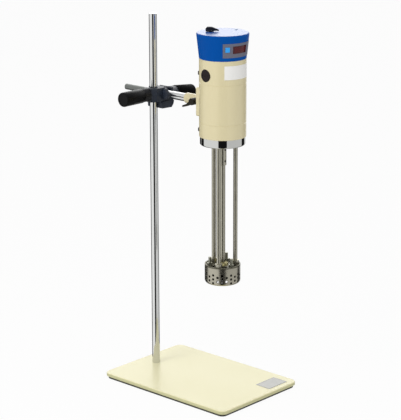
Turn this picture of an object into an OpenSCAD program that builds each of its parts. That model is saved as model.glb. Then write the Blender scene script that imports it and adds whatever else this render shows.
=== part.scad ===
// Rotor stator homogenizer on a bench stand.
// X runs along the stand's arm, from the column to the free end of the base.
// Y points to the back, Z up. The origin is under the middle of the base.

/* [Base] */
// Length of the base plate, along the arm
base_length = 330; // [300:1:420]
// Width of the base plate
base_width = 230; // [190:1:300]
// Thickness of the steel base plate
base_thickness = 8; // [7:0.5:14]
// Corner radius of the base plate
base_corner = 15; // [6:1:30]
// Bevel round the edges of the base plate
base_edge = 1.5; // [0.5:0.25:2.5]
// Thickness of the rubber mat under the plate
mat_thickness = 4.5; // [2:0.5:8]
// Distance of the mat's edge from the plate's edge
mat_inset = 4; // [1:0.5:5]
// Length of the blank plate on the base, along Y
plate_length = 56; // [30:1:70]
// Width of the blank plate on the base, along X
plate_width = 36; // [20:1:50]
// Thickness of the blank plates
plate_thickness = 0.4; // [0.3:0.1:1]

/* [Column] */
// Diameter of the column
column_diameter = 16; // [12:0.5:20]
// Height of the column's top above the bench
column_top = 750; // [720:5:900]
// Distance of the column from the end of the base
column_inset = 40; // [30:1:55]
// Diameter of the bolt that holds the column
bolt_diameter = 10; // [6:1:10]
// Length of the bolt's thread inside the column
bolt_grip = 24; // [12:1:40]

/* [Boss head] */
// Distance between the axes of the column and the arm
arm_offset = 25; // [24:0.5:32]
// Height of the arm's axis above the bench
arm_height = 584; // [540:1:640]
// Diameter of the two screw lugs
lug_diameter = 27; // [22:0.5:32]
// Reach of each lug from the axis of its rod
lug_reach = 35.5; // [30:0.5:45]
// Height of the column's screw above the arm's axis
screw_lift = 3.5; // [0:0.5:5]
// Angle by which the arm's screw points below the horizontal
screw_droop = 6; // [0:1:12]
// Diameter of the clamp screws
screw_diameter = 8; // [6:1:10]
// Diameter of the clamp knobs
knob_diameter = 29; // [22:1:36]
// Length of the clamp knobs
knob_length = 52; // [35:1:65]

/* [Arm] */
// Diameter of the arm's polished part
arm_diameter = 16; // [14:0.5:18]
// Diameter of the arm's spigot in the boss head
spigot_diameter = 12; // [8:0.5:12.5]
// Length of the spigot behind the column
arm_tail = 102; // [60:1:130]

/* [Bracket] */
// Width of the saddle on the motor housing
saddle_width = 45; // [36:1:60]
// Height of the saddle on the motor housing
saddle_height = 58; // [46:1:70]
// Least thickness of the saddle
saddle_thickness = 4.5; // [3.5:0.5:8]
// Outer diameter of the arm socket
socket_diameter = 21; // [20.5:0.5:26]
// Length of the arm socket in front of the saddle
socket_length = 44.5; // [38:0.5:60]
// Diameter of the lever's hub
lever_hub = 14; // [11:1:16]
// Length of the lever from its hub to its tip
lever_length = 27; // [24:1:45]
// Angle of the lever below the arm
lever_angle = 29; // [0:1:60]

/* [Motor housing] */
// Distance of the motor's axis from the column, along the arm
reach = 164; // [155:1:180]
// Radius of the motor housing
housing_radius = 46.5; // [44:0.5:52]
// Wall of the motor housing
housing_wall = 3.2; // [2.5:0.1:4]
// Distance of the arm's axis above the flange's lower face
arm_above_flange = 80; // [77:1:84]
// Height of the polished end flange
flange_height = 17; // [15:0.5:20]
// Radius of the polished end flange
flange_radius = 45; // [42:0.5:50]
// Rounding of the flange's lower edge
flange_edge = 3; // [1:0.5:4]
// Height of the lower motor cover
lower_height = 29; // [28:0.5:30]
// Height of the middle motor housing
field_height = 79; // [78:0.5:84]
// Height of the upper motor cover
upper_height = 48; // [46:0.5:54]
// Diameter of the brush caps
brush_cap_diameter = 25; // [20:0.5:30]
// Height of the blank plate on the housing
label_height = 27; // [15:0.5:30]
// Half of the angle that the blank plate spans
label_half_angle = 39.5; // [20:0.5:50]
// Angle by which the motor's features are turned about its axis
motor_turn = -5; // [-15:1:15]

/* [Control cap] */
// Height of the control cap
cap_height = 50; // [47:0.5:60]
// Radius of the control cap at its top
cap_top_radius = 52; // [48:0.25:56]
// Wall of the control cap
cap_wall = 2.6; // [2:0.1:3.5]
// Rounding of the cap's upper edge
cap_edge = 3.5; // [1:0.5:5]
// Height of the control panel
panel_height = 28; // [24:0.5:32]
// Half of the angle that the panel spans
panel_half_angle = 43.4; // [38:0.2:50]
// Height of the display window
display_height = 14.6; // [10:0.2:18]
// Half of the angle that the display spans
display_half_angle = 20; // [14:0.5:22]
// Width of the square key
key_width = 8.6; // [6:0.2:10]
// Height of the square key
key_height = 9.7; // [7:0.1:12]
// Diameter of the speed knob's body
dial_diameter = 16.5; // [12:0.5:20]
// Height of the speed knob
dial_height = 8; // [7:0.5:12]
// Distance of the speed knob from the cap's axis
dial_offset = 26; // [20:0.5:28]

/* [Working head] */
// Distance from the flange down to the head plate
rod_length = 248; // [200:1:300]
// Diameter of the three support rods
rod_diameter = 8.8; // [7:0.2:10]
// Radius of the circle that the rods stand on
rod_circle = 26; // [25:0.5:27]
// Angle of the first support rod
rod_turn = -66; // [-90:1:-40]
// Outer diameter of the stator cage
stator_diameter = 72; // [68:1:80]
// Height of the stator cage
stator_height = 38.5; // [34:0.5:44]
// Wall of the stator cage
stator_wall = 2.5; // [1.5:0.1:3]
// Height of the cage's rim above the head plate
rim_height = 2; // [1:0.5:4]
// Diameter of the holes in the stator cage
hole_diameter = 5; // [2:0.1:5.5]
// Number of columns of holes round the cage
hole_columns = 24; // [16:2:26]
// Pitch of the holes in one column
hole_pitch = 8.2; // [6:0.1:8.4]
// Thickness of the head plate
head_thickness = 6; // [5:0.5:8]
// Height of the studs above the head plate
stud_height = 17; // [8:1:20]
// Gap between the rotor and the stator
shear_gap = 0.5; // [0.2:0.1:1]
// Number of rotor blades
blade_count = 4; // [2:1:6]

/* [Drive] */
// Diameter of the drive shaft
drive_diameter = 10.6; // [8:0.2:11]
// Diameter of the coupling sleeve
coupling_diameter = 15; // [14:0.5:20]
// Length of the coupling sleeve
coupling_length = 41; // [30:1:60]
// Diameter of the motor shaft
shaft_diameter = 10; // [8:0.5:10]
// Radius of the commutator
commutator_radius = 13; // [11:0.5:15]
// Radius of the armature
armature_radius = 23.4; // [20:0.2:26]
// Radius of the cooling fan
fan_radius = 38; // [30:0.5:38]

/* [Hidden] */
$fn = 96;

// Clearances
running_fit = 0.05;   // radial, between a shaft or screw and its bore
seat_gap = 0.03;      // between curved faces of fixed pieces
air_gap = 0.3;        // between pieces that move past each other
hair = 0.01;          // overshoot of a cut

// Heights
plate_bottom = mat_thickness;
plate_top = mat_thickness + base_thickness;
flange_bottom = arm_height - arm_above_flange;
flange_top = flange_bottom + flange_height;
lower_top = flange_top + lower_height;
field_top = lower_top + field_height;
upper_top = field_top + upper_height;
cap_top = upper_top + cap_height;
head_top = flange_bottom - rod_length;
head_bottom = head_top - head_thickness;
stator_top = head_top + rim_height;
stator_bottom = stator_top - stator_height;

// Plan
column_x = column_inset - base_length / 2;
motor_x = column_x + reach;
motor_y = arm_offset;
column_radius = column_diameter / 2;
arm_radius = arm_diameter / 2;
spigot_radius = spigot_diameter / 2;

// ---------------------------------------------------------------- places

module at_motor(turn = 0) translate([motor_x, motor_y, 0]) rotate(turn) children();

module at_boss() translate([column_x, 0, arm_height]) children();

// Z of the children points out along the column's clamp screw.
module at_column_screw() at_boss() translate([0, 0, screw_lift]) rotate([90, 0, 0]) children();

// Z of the children points out along the arm's clamp screw.
module at_arm_screw()
  at_boss() translate([0, arm_offset, 0]) rotate([-90 - screw_droop, 0, 0]) children();

// Z of the children points out along the lever's screw.
module at_lever() translate([lever_x, arm_offset, arm_height]) rotate([90, 0, 0]) children();

// X of the children points out of the motor at an angle and a height.
module out_of_motor(angle, z) at_motor(angle) translate([0, 0, z]) children();

// ---------------------------------------------------------------- shapes

module tube(outer, inner, height) difference() {
  cylinder(r = outer, h = height);
  translate([0, 0, -hair]) cylinder(r = inner, h = height + 2 * hair);
}

// A shell of revolution whose two outer edges have small bevels.
module bevelled_shell(outer, inner, height, bevel) rotate_extrude() polygon([
  [inner, 0], [outer - bevel, 0], [outer, bevel], [outer, height - bevel],
  [outer - bevel, height], [inner, height]]);

module rounded_rectangle(length, width, radius) {
  square([length - 2 * radius, width], center = true);
  square([length, width - 2 * radius], center = true);
  for (x = [-1, 1], y = [-1, 1])
    translate([x * (length / 2 - radius), y * (width / 2 - radius)]) circle(radius);
}

// A flat wedge from the axis, between two angles, wide enough to cut a sector.
module sector(half_angle, radius) polygon([[0, 0],
  for (i = [-4:4]) radius / cos(half_angle / 8) * [cos(i * half_angle / 4), sin(i * half_angle / 4)]]);

// A countersunk screw along Z, with its head's face at z = 0 and its shank below.
module countersunk(head, shank, length) {
  translate([0, 0, -(head - shank) / 2]) cylinder(r1 = shank / 2, r2 = head / 2, h = (head - shank) / 2);
  translate([0, 0, -length]) cylinder(d = shank, h = length - (head - shank) / 2 + hair);
}

module countersunk_hole(head, shank, length) {
  grown = 2 * running_fit;
  translate([0, 0, hair]) countersunk(head + grown + 2 * hair, shank + grown, length + 1);
}

module hexagon_nut(flats, bore, height) difference() {
  cylinder(d = flats / cos(30), h = height, $fn = 6);
  translate([0, 0, -hair]) cylinder(d = bore, h = height + 2 * hair);
}

// ---------------------------------------------------------------- base

bolt_head = 2 * bolt_diameter;
mat_hole = bolt_head + 4;

module base_plate() color("cornsilk") difference() {
  hull() for (x = [-1, 1], y = [-1, 1])
    translate([x * (base_length / 2 - base_corner), y * (base_width / 2 - base_corner), plate_bottom]) {
      translate([0, 0, base_edge])
        cylinder(r = base_corner, h = base_thickness - 2 * base_edge, $fn = 32);
      cylinder(r = base_corner - base_edge, h = base_thickness, $fn = 32);
    }
  translate([column_x, 0, plate_bottom]) mirror([0, 0, 1])
    countersunk_hole(bolt_head, bolt_diameter, base_thickness + 1);
}

module base_mat() color("#15140f") difference() {
  linear_extrude(mat_thickness)
    rounded_rectangle(base_length - 2 * mat_inset, base_width - 2 * mat_inset, base_corner - mat_inset);
  translate([column_x, 0, -hair]) cylinder(d = mat_hole, h = mat_thickness + 2 * hair);
}

plate_margin = 13;   // from the blank plate to the base's free end
plate_back = 19;     // from the blank plate to the base's back edge

module base_label() color("silver")
  translate([base_length / 2 - plate_margin - plate_width / 2,
             base_width / 2 - plate_back - plate_length / 2, plate_top])
    linear_extrude(plate_thickness) rounded_rectangle(plate_width, plate_length, 1.5);

// ---------------------------------------------------------------- column

column_bevel = 1;
foot_gap = 0.05;

module column() color("#c9cdd0") translate([column_x, 0, 0]) difference() {
  union() {
    translate([0, 0, plate_top + foot_gap])
      cylinder(d = column_diameter, h = column_top - plate_top - foot_gap - column_bevel);
    translate([0, 0, column_top - column_bevel])
      cylinder(r1 = column_radius, r2 = column_radius - column_bevel, h = column_bevel);
  }
  cylinder(d = bolt_diameter + 2 * running_fit, h = plate_top + bolt_grip + 2);
}

module column_bolt() color("#55585a") translate([column_x, 0, plate_bottom]) mirror([0, 0, 1])
  difference() {
    countersunk(bolt_head, bolt_diameter, base_thickness + bolt_grip);
    translate([0, 0, -bolt_diameter * 0.4])
      cylinder(d = bolt_diameter * 0.7, h = bolt_diameter, $fn = 6);
  }

// ---------------------------------------------------------------- boss head

hook_top = screw_lift + lug_diameter / 2 - 1;
hook_bottom = -11;
throat_half = column_radius + 1.6;
throat_front = -(column_radius + 2);
boss_half = column_radius + 9;
cheek = 20;                       // half length of the lower hook, along the arm
jaw_tip = 32;                     // reach of the pointed jaw in front of the arm
jaw_thickness = 9;
front_wall = 6;
lower_depth = 27;                 // reach of the lower hook below the arm's axis
groove_column = (column_radius + running_fit) * sqrt(2);
groove_arm = (spigot_radius + running_fit) * sqrt(2);
arm_floor = spigot_radius + 2.5;
arm_back = spigot_radius + 3;
thread_hole = screw_diameter + 2 * running_fit;

module column_channel() translate([0, 0, -60]) linear_extrude(120) polygon([
  [0, groove_column], [throat_half, groove_column - throat_half], [throat_half, throat_front],
  [-60, throat_front], [-60, groove_column - throat_half], [-throat_half, groove_column - throat_half]]);

// The arm's channel, drawn with the arm's axis at the origin and its length along X.
module arm_channel() rotate([90, 0, 90]) translate([0, 0, -60]) linear_extrude(120) polygon([
  [-groove_arm, 0], [arm_floor - 1 - groove_arm, arm_floor - 1], [arm_floor - 1 - groove_arm, 60],
  [arm_back, 60], [arm_back, -arm_floor], [arm_floor - groove_arm, -arm_floor]]);

module column_hook() translate([0, 0, hook_bottom]) linear_extrude(hook_top - hook_bottom) polygon([
  [-boss_half, 4], [-boss_half + 4, 0], [-throat_half - 2, 0], [-throat_half, -2],
  [-throat_half, throat_front - front_wall], [-6, throat_front - front_wall - 4],
  [lug_diameter / 2 - 2, throat_front - front_wall - 4], [boss_half + 2, throat_front],
  [boss_half + 2, 6], [boss_half, arm_offset - spigot_radius - 2],
  [-boss_half, arm_offset - spigot_radius - 2]]);

module arm_hook() translate([0, arm_offset, 0]) rotate([90, 0, 90]) {
  translate([0, 0, -boss_half]) linear_extrude(2 * boss_half) polygon([
    [-arm_offset + 4, -lower_depth + 3], [-arm_offset + 4, 12], [-arm_offset + 7, 15], [-3, 15],
    [arm_floor - groove_arm, 11], [arm_back, 11], [arm_back + 3, 13], [arm_back + 6, 11],
    [arm_back + 6, -lower_depth + 9], [arm_back, -lower_depth]]);
  translate([0, 0, -cheek]) linear_extrude(2 * cheek) polygon([
    [-arm_offset + 5, -lower_depth + 1], [-arm_offset + 4, -lower_depth + 3],
    [-arm_offset + 4, -arm_floor - 6], [-arm_offset + 6, -arm_floor - 4],
    [arm_back + 3, -arm_floor - 4], [arm_back + 5, -arm_floor - 6],
    [arm_back + 3, -lower_depth + 6], [arm_back - 2, -lower_depth]]);
}

// The pointed end of the front jaw, which the arm lies behind.
module front_jaw() translate([0, arm_offset - arm_radius - 0.4, 0]) rotate([90, 0, 0])
  linear_extrude(jaw_thickness) polygon([[boss_half - 1, 15], [boss_half + 6, 13], [jaw_tip, 1.5],
    [jaw_tip - 4, -5], [boss_half - 1, -9]]);

module boss_head() color("#262c36") difference() {
  union() {
    at_boss() {
      column_hook();
      arm_hook();
      front_jaw();
    }
    at_column_screw() translate([0, 0, -throat_front])
      cylinder(d = lug_diameter, h = lug_reach + throat_front);
    at_arm_screw() translate([0, 0, arm_back + 1]) cylinder(d = lug_diameter, h = lug_reach - arm_back - 1);
  }
  at_boss() column_channel();
  at_boss() translate([0, arm_offset, 0]) arm_channel();
  at_boss() translate([boss_half + hair, arm_offset, 0]) rotate([0, 90, 0])
    cylinder(r = arm_radius + air_gap, h = cheek);
  at_column_screw() cylinder(d = thread_hole, h = lug_reach + 1);
  at_arm_screw() cylinder(d = thread_hole, h = lug_reach + 1);
}

// A clamp screw along Z whose point presses on a rod of the given radius.
module clamp_screw(rod) {
  point = screw_diameter * 0.35;
  start = rod + running_fit;
  translate([0, 0, start]) cylinder(r = point, h = 2);
  translate([0, 0, start + 1.5])
    cylinder(d = screw_diameter, h = lug_reach + knob_length * 0.6 - start - 1.5);
}

knob_bevel = 1.5;

module clamp_knob() {
  radius = knob_diameter / 2;
  bore = screw_diameter / 2 + running_fit;
  depth = knob_length * 0.6;
  translate([0, 0, lug_reach + air_gap]) rotate_extrude() polygon([
    [bore, 0], [radius - knob_bevel, 0], [radius, knob_bevel], [radius, knob_length - knob_bevel],
    [radius - knob_bevel, knob_length], [0, knob_length], [0, depth], [bore, depth]]);
}

module column_screw() color("#8c8f92") at_column_screw() clamp_screw(column_radius);
module column_knob() color("#17171a") at_column_screw() clamp_knob();
module arm_screw() color("#8c8f92") at_arm_screw() clamp_screw(spigot_radius);
module arm_knob() color("#17171a") at_arm_screw() clamp_knob();

// ---------------------------------------------------------------- arm

saddle_back = motor_x - housing_radius - saddle_thickness;
socket_end = saddle_back - socket_length;
arm_end = saddle_back - 2;
shoulder = column_x + boss_half + 1;
arm_bevel = 1;

module support_arm() color("#b9bcbe") translate([0, arm_offset, arm_height]) rotate([0, 90, 0]) {
  translate([0, 0, column_x - arm_tail + arm_bevel])
    cylinder(d = spigot_diameter, h = shoulder - column_x + arm_tail - arm_bevel);
  translate([0, 0, column_x - arm_tail])
    cylinder(r1 = spigot_radius - arm_bevel, r2 = spigot_radius, h = arm_bevel);
  translate([0, 0, shoulder]) cylinder(d = arm_diameter, h = arm_end - shoulder);
}

// ---------------------------------------------------------------- bracket

lever_x = saddle_back - 11;
lever_thread = 6;
pad_diameter = lever_hub;
blade_width = 5;
pad_reach = socket_diameter / 2 + 0.7;
hub_reach = pad_reach + 13;
saddle_rise = 1.5;
saddle_screw = 5;
saddle_screw_head = 9;
screw_rows = [saddle_width / 2 - 7, saddle_height / 2 - 7];

module saddle_screws_at() for (y = [-1, 1], z = [-1, 1])
  translate([saddle_back, motor_y + y * screw_rows[0], arm_height + saddle_rise + z * screw_rows[1]])
    rotate([0, -90, 0]) children();

// Depth of a saddle screw, which ends just short of the field core.
saddle_screw_length = housing_radius + saddle_thickness - air_gap
  - sqrt(pow(housing_radius - housing_wall, 2) - pow(screw_rows[0] - saddle_screw / 2, 2));

module bracket() color("#ddd6b4") difference() {
  union() {
    difference() {
      translate([saddle_back, motor_y, arm_height + saddle_rise]) rotate([0, 90, 0])
        linear_extrude(housing_radius * 0.4) rounded_rectangle(saddle_height, saddle_width, 4);
      at_motor() cylinder(r = housing_radius + seat_gap, h = cap_top);
    }
    translate([socket_end, arm_offset, arm_height]) rotate([0, 90, 0])
      cylinder(d = socket_diameter, h = socket_length + saddle_thickness / 2);
    at_lever() cylinder(d = pad_diameter, h = pad_reach);
  }
  translate([socket_end - hair, arm_offset, arm_height]) rotate([0, 90, 0])
    cylinder(r = arm_radius + running_fit, h = arm_end - socket_end + 1);
  at_lever() cylinder(d = lever_thread + 2 * running_fit, h = hub_reach);
  saddle_screws_at() countersunk_hole(saddle_screw_head, saddle_screw, saddle_screw_length);
}

module bracket_screws() color("#8f8f86") saddle_screws_at() difference() {
  countersunk(saddle_screw_head, saddle_screw, saddle_screw_length);
  translate([0, 0, -1.5]) cylinder(d = saddle_screw * 0.6, h = 2, $fn = 6);
}

module lever_screw() color("#8c8f92") at_lever()
  translate([0, 0, arm_radius + running_fit]) cylinder(d = lever_thread, h = hub_reach - arm_radius - 3);

module clamp_lever() color("#1c1b18") at_lever() difference() {
  union() {
    translate([0, 0, pad_reach + air_gap]) cylinder(d = lever_hub, h = hub_reach - pad_reach);
    rotate(180 + lever_angle) {
      hull() {
        translate([0, 0, hub_reach - 7]) cylinder(r = lever_hub * 0.36, h = 6, $fn = 32);
        translate([lever_length * 0.55, 1, hub_reach - 5.6]) cylinder(r = blade_width / 2, h = 4.6, $fn = 32);
      }
      hull() {
        translate([lever_length * 0.55, 1, hub_reach - 5.6]) cylinder(r = blade_width / 2, h = 4.6, $fn = 32);
        translate([lever_length, -1, hub_reach - 5]) cylinder(r = blade_width * 0.36, h = 4, $fn = 32);
      }
    }
  }
  translate([0, 0, pad_reach]) cylinder(d = lever_thread, h = hub_reach - pad_reach - 2.5);
}

// ---------------------------------------------------------------- housing

housing_bore = housing_radius - housing_wall;
seam_bevel = 0.4;
cover_screw_angles = [133, -133];
lower_screw_z = flange_top + 13;
brush_z = field_top + 18;
brush_angles = [-90, 90];
web_bottom = upper_top - 16;
web_thickness = 4;
upper_seat = 15;                  // radius of the upper bearing
upper_bearing_height = 9;
lower_seat = 16;                  // radius of the lower bearing
lower_bearing_height = 10;
spigot_height = 5;
ring_bore = 33;
ring_height = 4.5;

module cover_screw_holes(z) for (angle = cover_screw_angles)
  out_of_motor(angle + motor_turn, z) rotate([0, 90, 0])
    cylinder(d = 4 + 2 * running_fit, h = housing_radius + 5);

// Two tabs of the middle housing that its neighbours are screwed to.
module housing_tabs(low, high) for (angle = cover_screw_angles) at_motor(angle + motor_turn)
  translate([0, 0, low]) intersection() {
    tube(housing_bore - seat_gap, housing_bore - 3.5, high - low);
    linear_extrude(high - low) sector(8, housing_radius);
  }

module tab_roots(z) for (angle = cover_screw_angles) at_motor(angle + motor_turn)
  translate([0, 0, z - 5]) intersection() {
    tube(housing_bore + 1, housing_bore - 3.5, 10);
    linear_extrude(10) sector(8, housing_radius);
  }

module lower_cover() color("#ddd6b4") difference() {
  union() {
    at_motor() translate([0, 0, flange_top])
      bevelled_shell(housing_radius, housing_bore, lower_height, seam_bevel);
    at_motor() translate([0, 0, flange_top]) tube(housing_bore + 1, ring_bore, ring_height);
  }
  cover_screw_holes(lower_screw_z);
  flange_screws_at() cylinder(d = 4 + 2 * running_fit, h = flange_height + ring_height + 1);
}

module field_housing() color("#ddd6b4") difference() {
  union() {
    at_motor() translate([0, 0, lower_top])
      bevelled_shell(housing_radius, housing_bore, field_height, seam_bevel);
    housing_tabs(lower_screw_z - 5, lower_top + 1);
    housing_tabs(field_top - 1, brush_z + 5);
    tab_roots(lower_top + 5);
    tab_roots(field_top - 5);
  }
  cover_screw_holes(lower_screw_z);
  cover_screw_holes(brush_z);
  saddle_screws_at() translate([0, 0, -saddle_screw_length - housing_wall])
    cylinder(d = saddle_screw + 2 * running_fit, h = saddle_screw_length + housing_wall);
}

module upper_cover() color("#ddd6b4") difference() {
  at_motor(motor_turn) {
    translate([0, 0, field_top]) bevelled_shell(housing_radius, housing_bore, upper_height, seam_bevel);
    translate([0, 0, web_bottom]) cylinder(r = housing_bore + 1, h = web_thickness);
    translate([0, 0, web_bottom]) cylinder(r = upper_seat + 4, h = upper_bearing_height + 4);
    translate([0, 0, upper_top - 2]) tube(housing_bore + 1, housing_bore - 3, 2);
    translate([0, 0, upper_top]) tube(housing_bore - seat_gap, housing_bore - 3, spigot_height);
  }
  at_motor() translate([0, 0, web_bottom - hair]) cylinder(r = shaft_diameter / 2 + 1, h = 20);
  at_motor() translate([0, 0, web_bottom + 2]) cylinder(r = upper_seat + seat_gap, h = 20);
  for (angle = [30:60:330]) out_of_motor(angle + motor_turn, web_bottom - hair)
    translate([31, 0, 0]) cylinder(r = 6, h = web_thickness + 1);
  for (angle = brush_angles) out_of_motor(angle + motor_turn, brush_z) rotate([0, 90, 0])
    cylinder(d = brush_cap_diameter + 2 * running_fit, h = housing_radius + 5);
  cover_screw_holes(brush_z);
  for (angle = cap_screw_angles) out_of_motor(angle + motor_turn, upper_top + spigot_height / 2)
    rotate([0, 90, 0]) cylinder(d = 2.5 + 2 * running_fit, h = housing_radius);
}

module cover_screws() color("#2a2a28") for (z = [lower_screw_z, brush_z], angle = cover_screw_angles)
  out_of_motor(angle + motor_turn, z) rotate([0, 90, 0]) difference() {
    union() {
      translate([0, 0, housing_bore - 3]) cylinder(d = 4, h = housing_wall + 4);
      translate([0, 0, housing_radius]) cylinder(d1 = 8.5, d2 = 6.5, h = 2);
    }
    translate([0, 0, housing_radius + 2]) cube([5, 1, 1.6], center = true);
  }

module body_label() color("#f2f1ee") at_motor(motor_turn)
  translate([0, 0, upper_top - 9 - label_height]) intersection() {
    tube(housing_radius + seat_gap + plate_thickness, housing_radius + seat_gap, label_height);
    linear_extrude(label_height) sector(label_half_angle, housing_radius + 5);
  }

rod_thread = 6;
rod_socket = 11;
flange_screw_circle = 38.5;
bearing_floor = 4;

module end_flange() color("#cfd2d3") difference() {
  at_motor() {
    translate([0, 0, flange_bottom]) rotate_extrude() {
      translate([0, flange_edge]) square([flange_radius, flange_height - flange_edge]);
      square([flange_radius - flange_edge, flange_height]);
      translate([flange_radius - flange_edge, flange_edge]) circle(flange_edge);
    }
    translate([0, 0, flange_top - hair]) tube(ring_bore - seat_gap, ring_bore - 4, ring_height);
  }
  at_motor() translate([0, 0, flange_bottom - hair]) cylinder(r = shaft_diameter / 2 + 2.5, h = 30);
  at_motor() translate([0, 0, flange_bottom + bearing_floor])
    cylinder(r = lower_seat + seat_gap, h = lower_bearing_height + 10);
  rods_at(flange_bottom - hair) cylinder(d = rod_thread + 2 * running_fit, h = rod_socket + 1);
  flange_screws_at() mirror([0, 0, 1]) countersunk_hole(7, 4, flange_height);
}

module flange_screws_at() for (i = [0:2])
  out_of_motor(rod_turn + 60 + 120 * i, flange_bottom) translate([flange_screw_circle, 0, 0]) children();

module flange_screws() color("#8f8f86") flange_screws_at() mirror([0, 0, 1]) difference() {
  countersunk(7, 4, flange_height + ring_height - 0.5);
  translate([0, 0, -1.2]) cylinder(d = 2.5, h = 2, $fn = 6);
}

// ---------------------------------------------------------------- brushes

brush_inner = commutator_radius + 0.4;
holder_radius = 7;
holder_inner = commutator_radius + 3;
holder_outer = housing_radius - 6;
brush_length = 14;

module at_brushes() for (angle = brush_angles)
  out_of_motor(angle + motor_turn, brush_z) rotate([0, 90, 0]) children();

module brush_caps() color("#1d1a1a") at_brushes() difference() {
  union() {
    translate([0, 0, holder_outer + seat_gap]) cylinder(d = brush_cap_diameter, h = 5.6);
    translate([0, 0, holder_outer + 5])
      cylinder(d1 = brush_cap_diameter, d2 = brush_cap_diameter - 2, h = 1.6);
  }
  translate([0, 0, holder_outer + 6.6]) cube([3, brush_cap_diameter - 8, 2], center = true);
}

module brush_holders() color("#7a5a2c") at_brushes() difference() {
  union() {
    translate([0, 0, holder_inner]) cylinder(r = holder_radius, h = holder_outer - holder_inner);
    translate([0, 0, holder_outer - 2]) cylinder(d = brush_cap_diameter - 1, h = 2);
  }
  translate([0, 0, holder_inner - hair]) linear_extrude(holder_outer)
    square([6 + 2 * seat_gap, 8 + 2 * seat_gap], center = true);
}

module carbon_brushes() color("#2b2b2b") at_brushes()
  translate([0, 0, brush_inner]) linear_extrude(brush_length) square([6, 8], center = true);

module brush_springs() color("#b08d3c") at_brushes()
  translate([0, 0, brush_inner + brush_length]) tube(2.6, 1.8, holder_outer - brush_inner - brush_length);

// ---------------------------------------------------------------- motor

core_bottom = lower_top + 14;
core_height = 50;
yoke_inner = housing_bore - 9;
pole_inner = armature_radius + 0.8;
pole_half_angle = 52;
winding_gap = 0.2;
winding_end = 7;
commutator_bottom = brush_z - 11;
commutator_height = 21;
shaft_top = web_bottom + 2 + upper_bearing_height;
lower_journal = 12;
fan_bottom = flange_top + ring_height + 2;
slot_circle = armature_radius - 3.4;
fan_hub_height = 12;
fan_hub_wall = 5;
fan_disc = 1.6;

module field_core() color("#6d6f72") at_motor(motor_turn) translate([0, 0, core_bottom]) {
  tube(housing_bore - seat_gap, yoke_inner, core_height);
  for (side = [0, 180]) rotate(side) intersection() {
    tube(yoke_inner + 1, pole_inner, core_height);
    linear_extrude(core_height) sector(pole_half_angle, housing_radius);
  }
}

module field_windings() color("#b4622d") at_motor(motor_turn) {
  inner = pole_inner + winding_gap;
  outer = yoke_inner - winding_gap;
  for (z = [core_bottom - winding_gap - winding_end, core_bottom + core_height + winding_gap])
    translate([0, 0, z]) tube(outer, inner, winding_end);
  translate([0, 0, core_bottom - 1]) for (side = [90, 270]) rotate(side) intersection() {
    tube(outer, inner, core_height + 2);
    linear_extrude(core_height + 2) sector(90 - pole_half_angle - 1, housing_radius);
  }
}

module slots_at() for (i = [0:11]) rotate(30 * i) translate([slot_circle, 0, 0]) children();

module armature_core() color("#77797c") at_motor() translate([0, 0, core_bottom]) difference() {
  cylinder(r = armature_radius, h = core_height);
  translate([0, 0, -hair]) cylinder(r = shaft_diameter / 2 + seat_gap, h = core_height + 1);
  slots_at() translate([0, 0, -hair]) cylinder(r = 2.4, h = core_height + 1);
}

module armature_windings() color("#b4622d") at_motor() {
  translate([0, 0, core_bottom - winding_gap]) slots_at() cylinder(r = 2.2, h = core_height + 2 * winding_gap);
  for (z = [core_bottom - winding_gap - 9, core_bottom + core_height + winding_gap])
    translate([0, 0, z]) tube(slot_circle + 2, shaft_diameter / 2 + seat_gap, 9);
}

module commutator() color("#b87333") at_motor() translate([0, 0, commutator_bottom]) difference() {
  union() {
    cylinder(r = commutator_radius, h = commutator_height);
    cylinder(r = commutator_radius + 2, h = 3);
  }
  translate([0, 0, -hair]) cylinder(r = shaft_diameter / 2 + seat_gap, h = commutator_height + 1);
  for (i = [0:23]) rotate(15 * i) translate([commutator_radius, 0, commutator_height / 2 + 3.6])
    cube([1, 0.4, commutator_height], center = true);
}

module motor_shaft() color("#a5a8aa") at_motor() {
  translate([0, 0, coupling_middle])
    cylinder(d = shaft_diameter - 2, h = flange_bottom + 1 - coupling_middle);
  translate([0, 0, flange_bottom + 1]) cylinder(d = shaft_diameter, h = shaft_top - flange_bottom - 1);
  translate([0, 0, flange_bottom + bearing_floor])
    cylinder(d = lower_journal, h = fan_bottom + 9 - flange_bottom - bearing_floor);
}

module cooling_fan() color("#d8d6cc") at_motor() translate([0, 0, fan_bottom]) difference() {
  union() {
    cylinder(r = lower_journal / 2 + fan_hub_wall, h = fan_hub_height);
    cylinder(r = fan_radius, h = fan_disc);
    for (i = [0:8]) rotate(40 * i) translate([lower_journal / 2 + fan_hub_wall - 2, -fan_disc / 2, 0])
      cube([fan_radius - lower_journal / 2 - fan_hub_wall + 1, fan_disc, fan_hub_height - 1]);
  }
  translate([0, 0, -hair]) cylinder(r = lower_journal / 2 + seat_gap, h = fan_hub_height + 1);
}

// A ball bearing as one ring, with the shallow groove of its shield on each face.
module bearing(outer, bore, height) difference() {
  cylinder(r = outer, h = height);
  translate([0, 0, -hair]) cylinder(r = bore, h = height + 2 * hair);
  for (z = [-hair, height - 0.6]) translate([0, 0, z]) tube(outer - 3, bore + 2.5, 0.6 + hair);
}

module upper_bearing() color("#9a9da0") at_motor() translate([0, 0, web_bottom + 2])
  bearing(upper_seat, shaft_diameter / 2 + running_fit, upper_bearing_height);

module lower_bearing() color("#9a9da0") at_motor() translate([0, 0, flange_bottom + bearing_floor])
  bearing(lower_seat, lower_journal / 2 + running_fit, lower_bearing_height);

// ---------------------------------------------------------------- control cap

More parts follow.
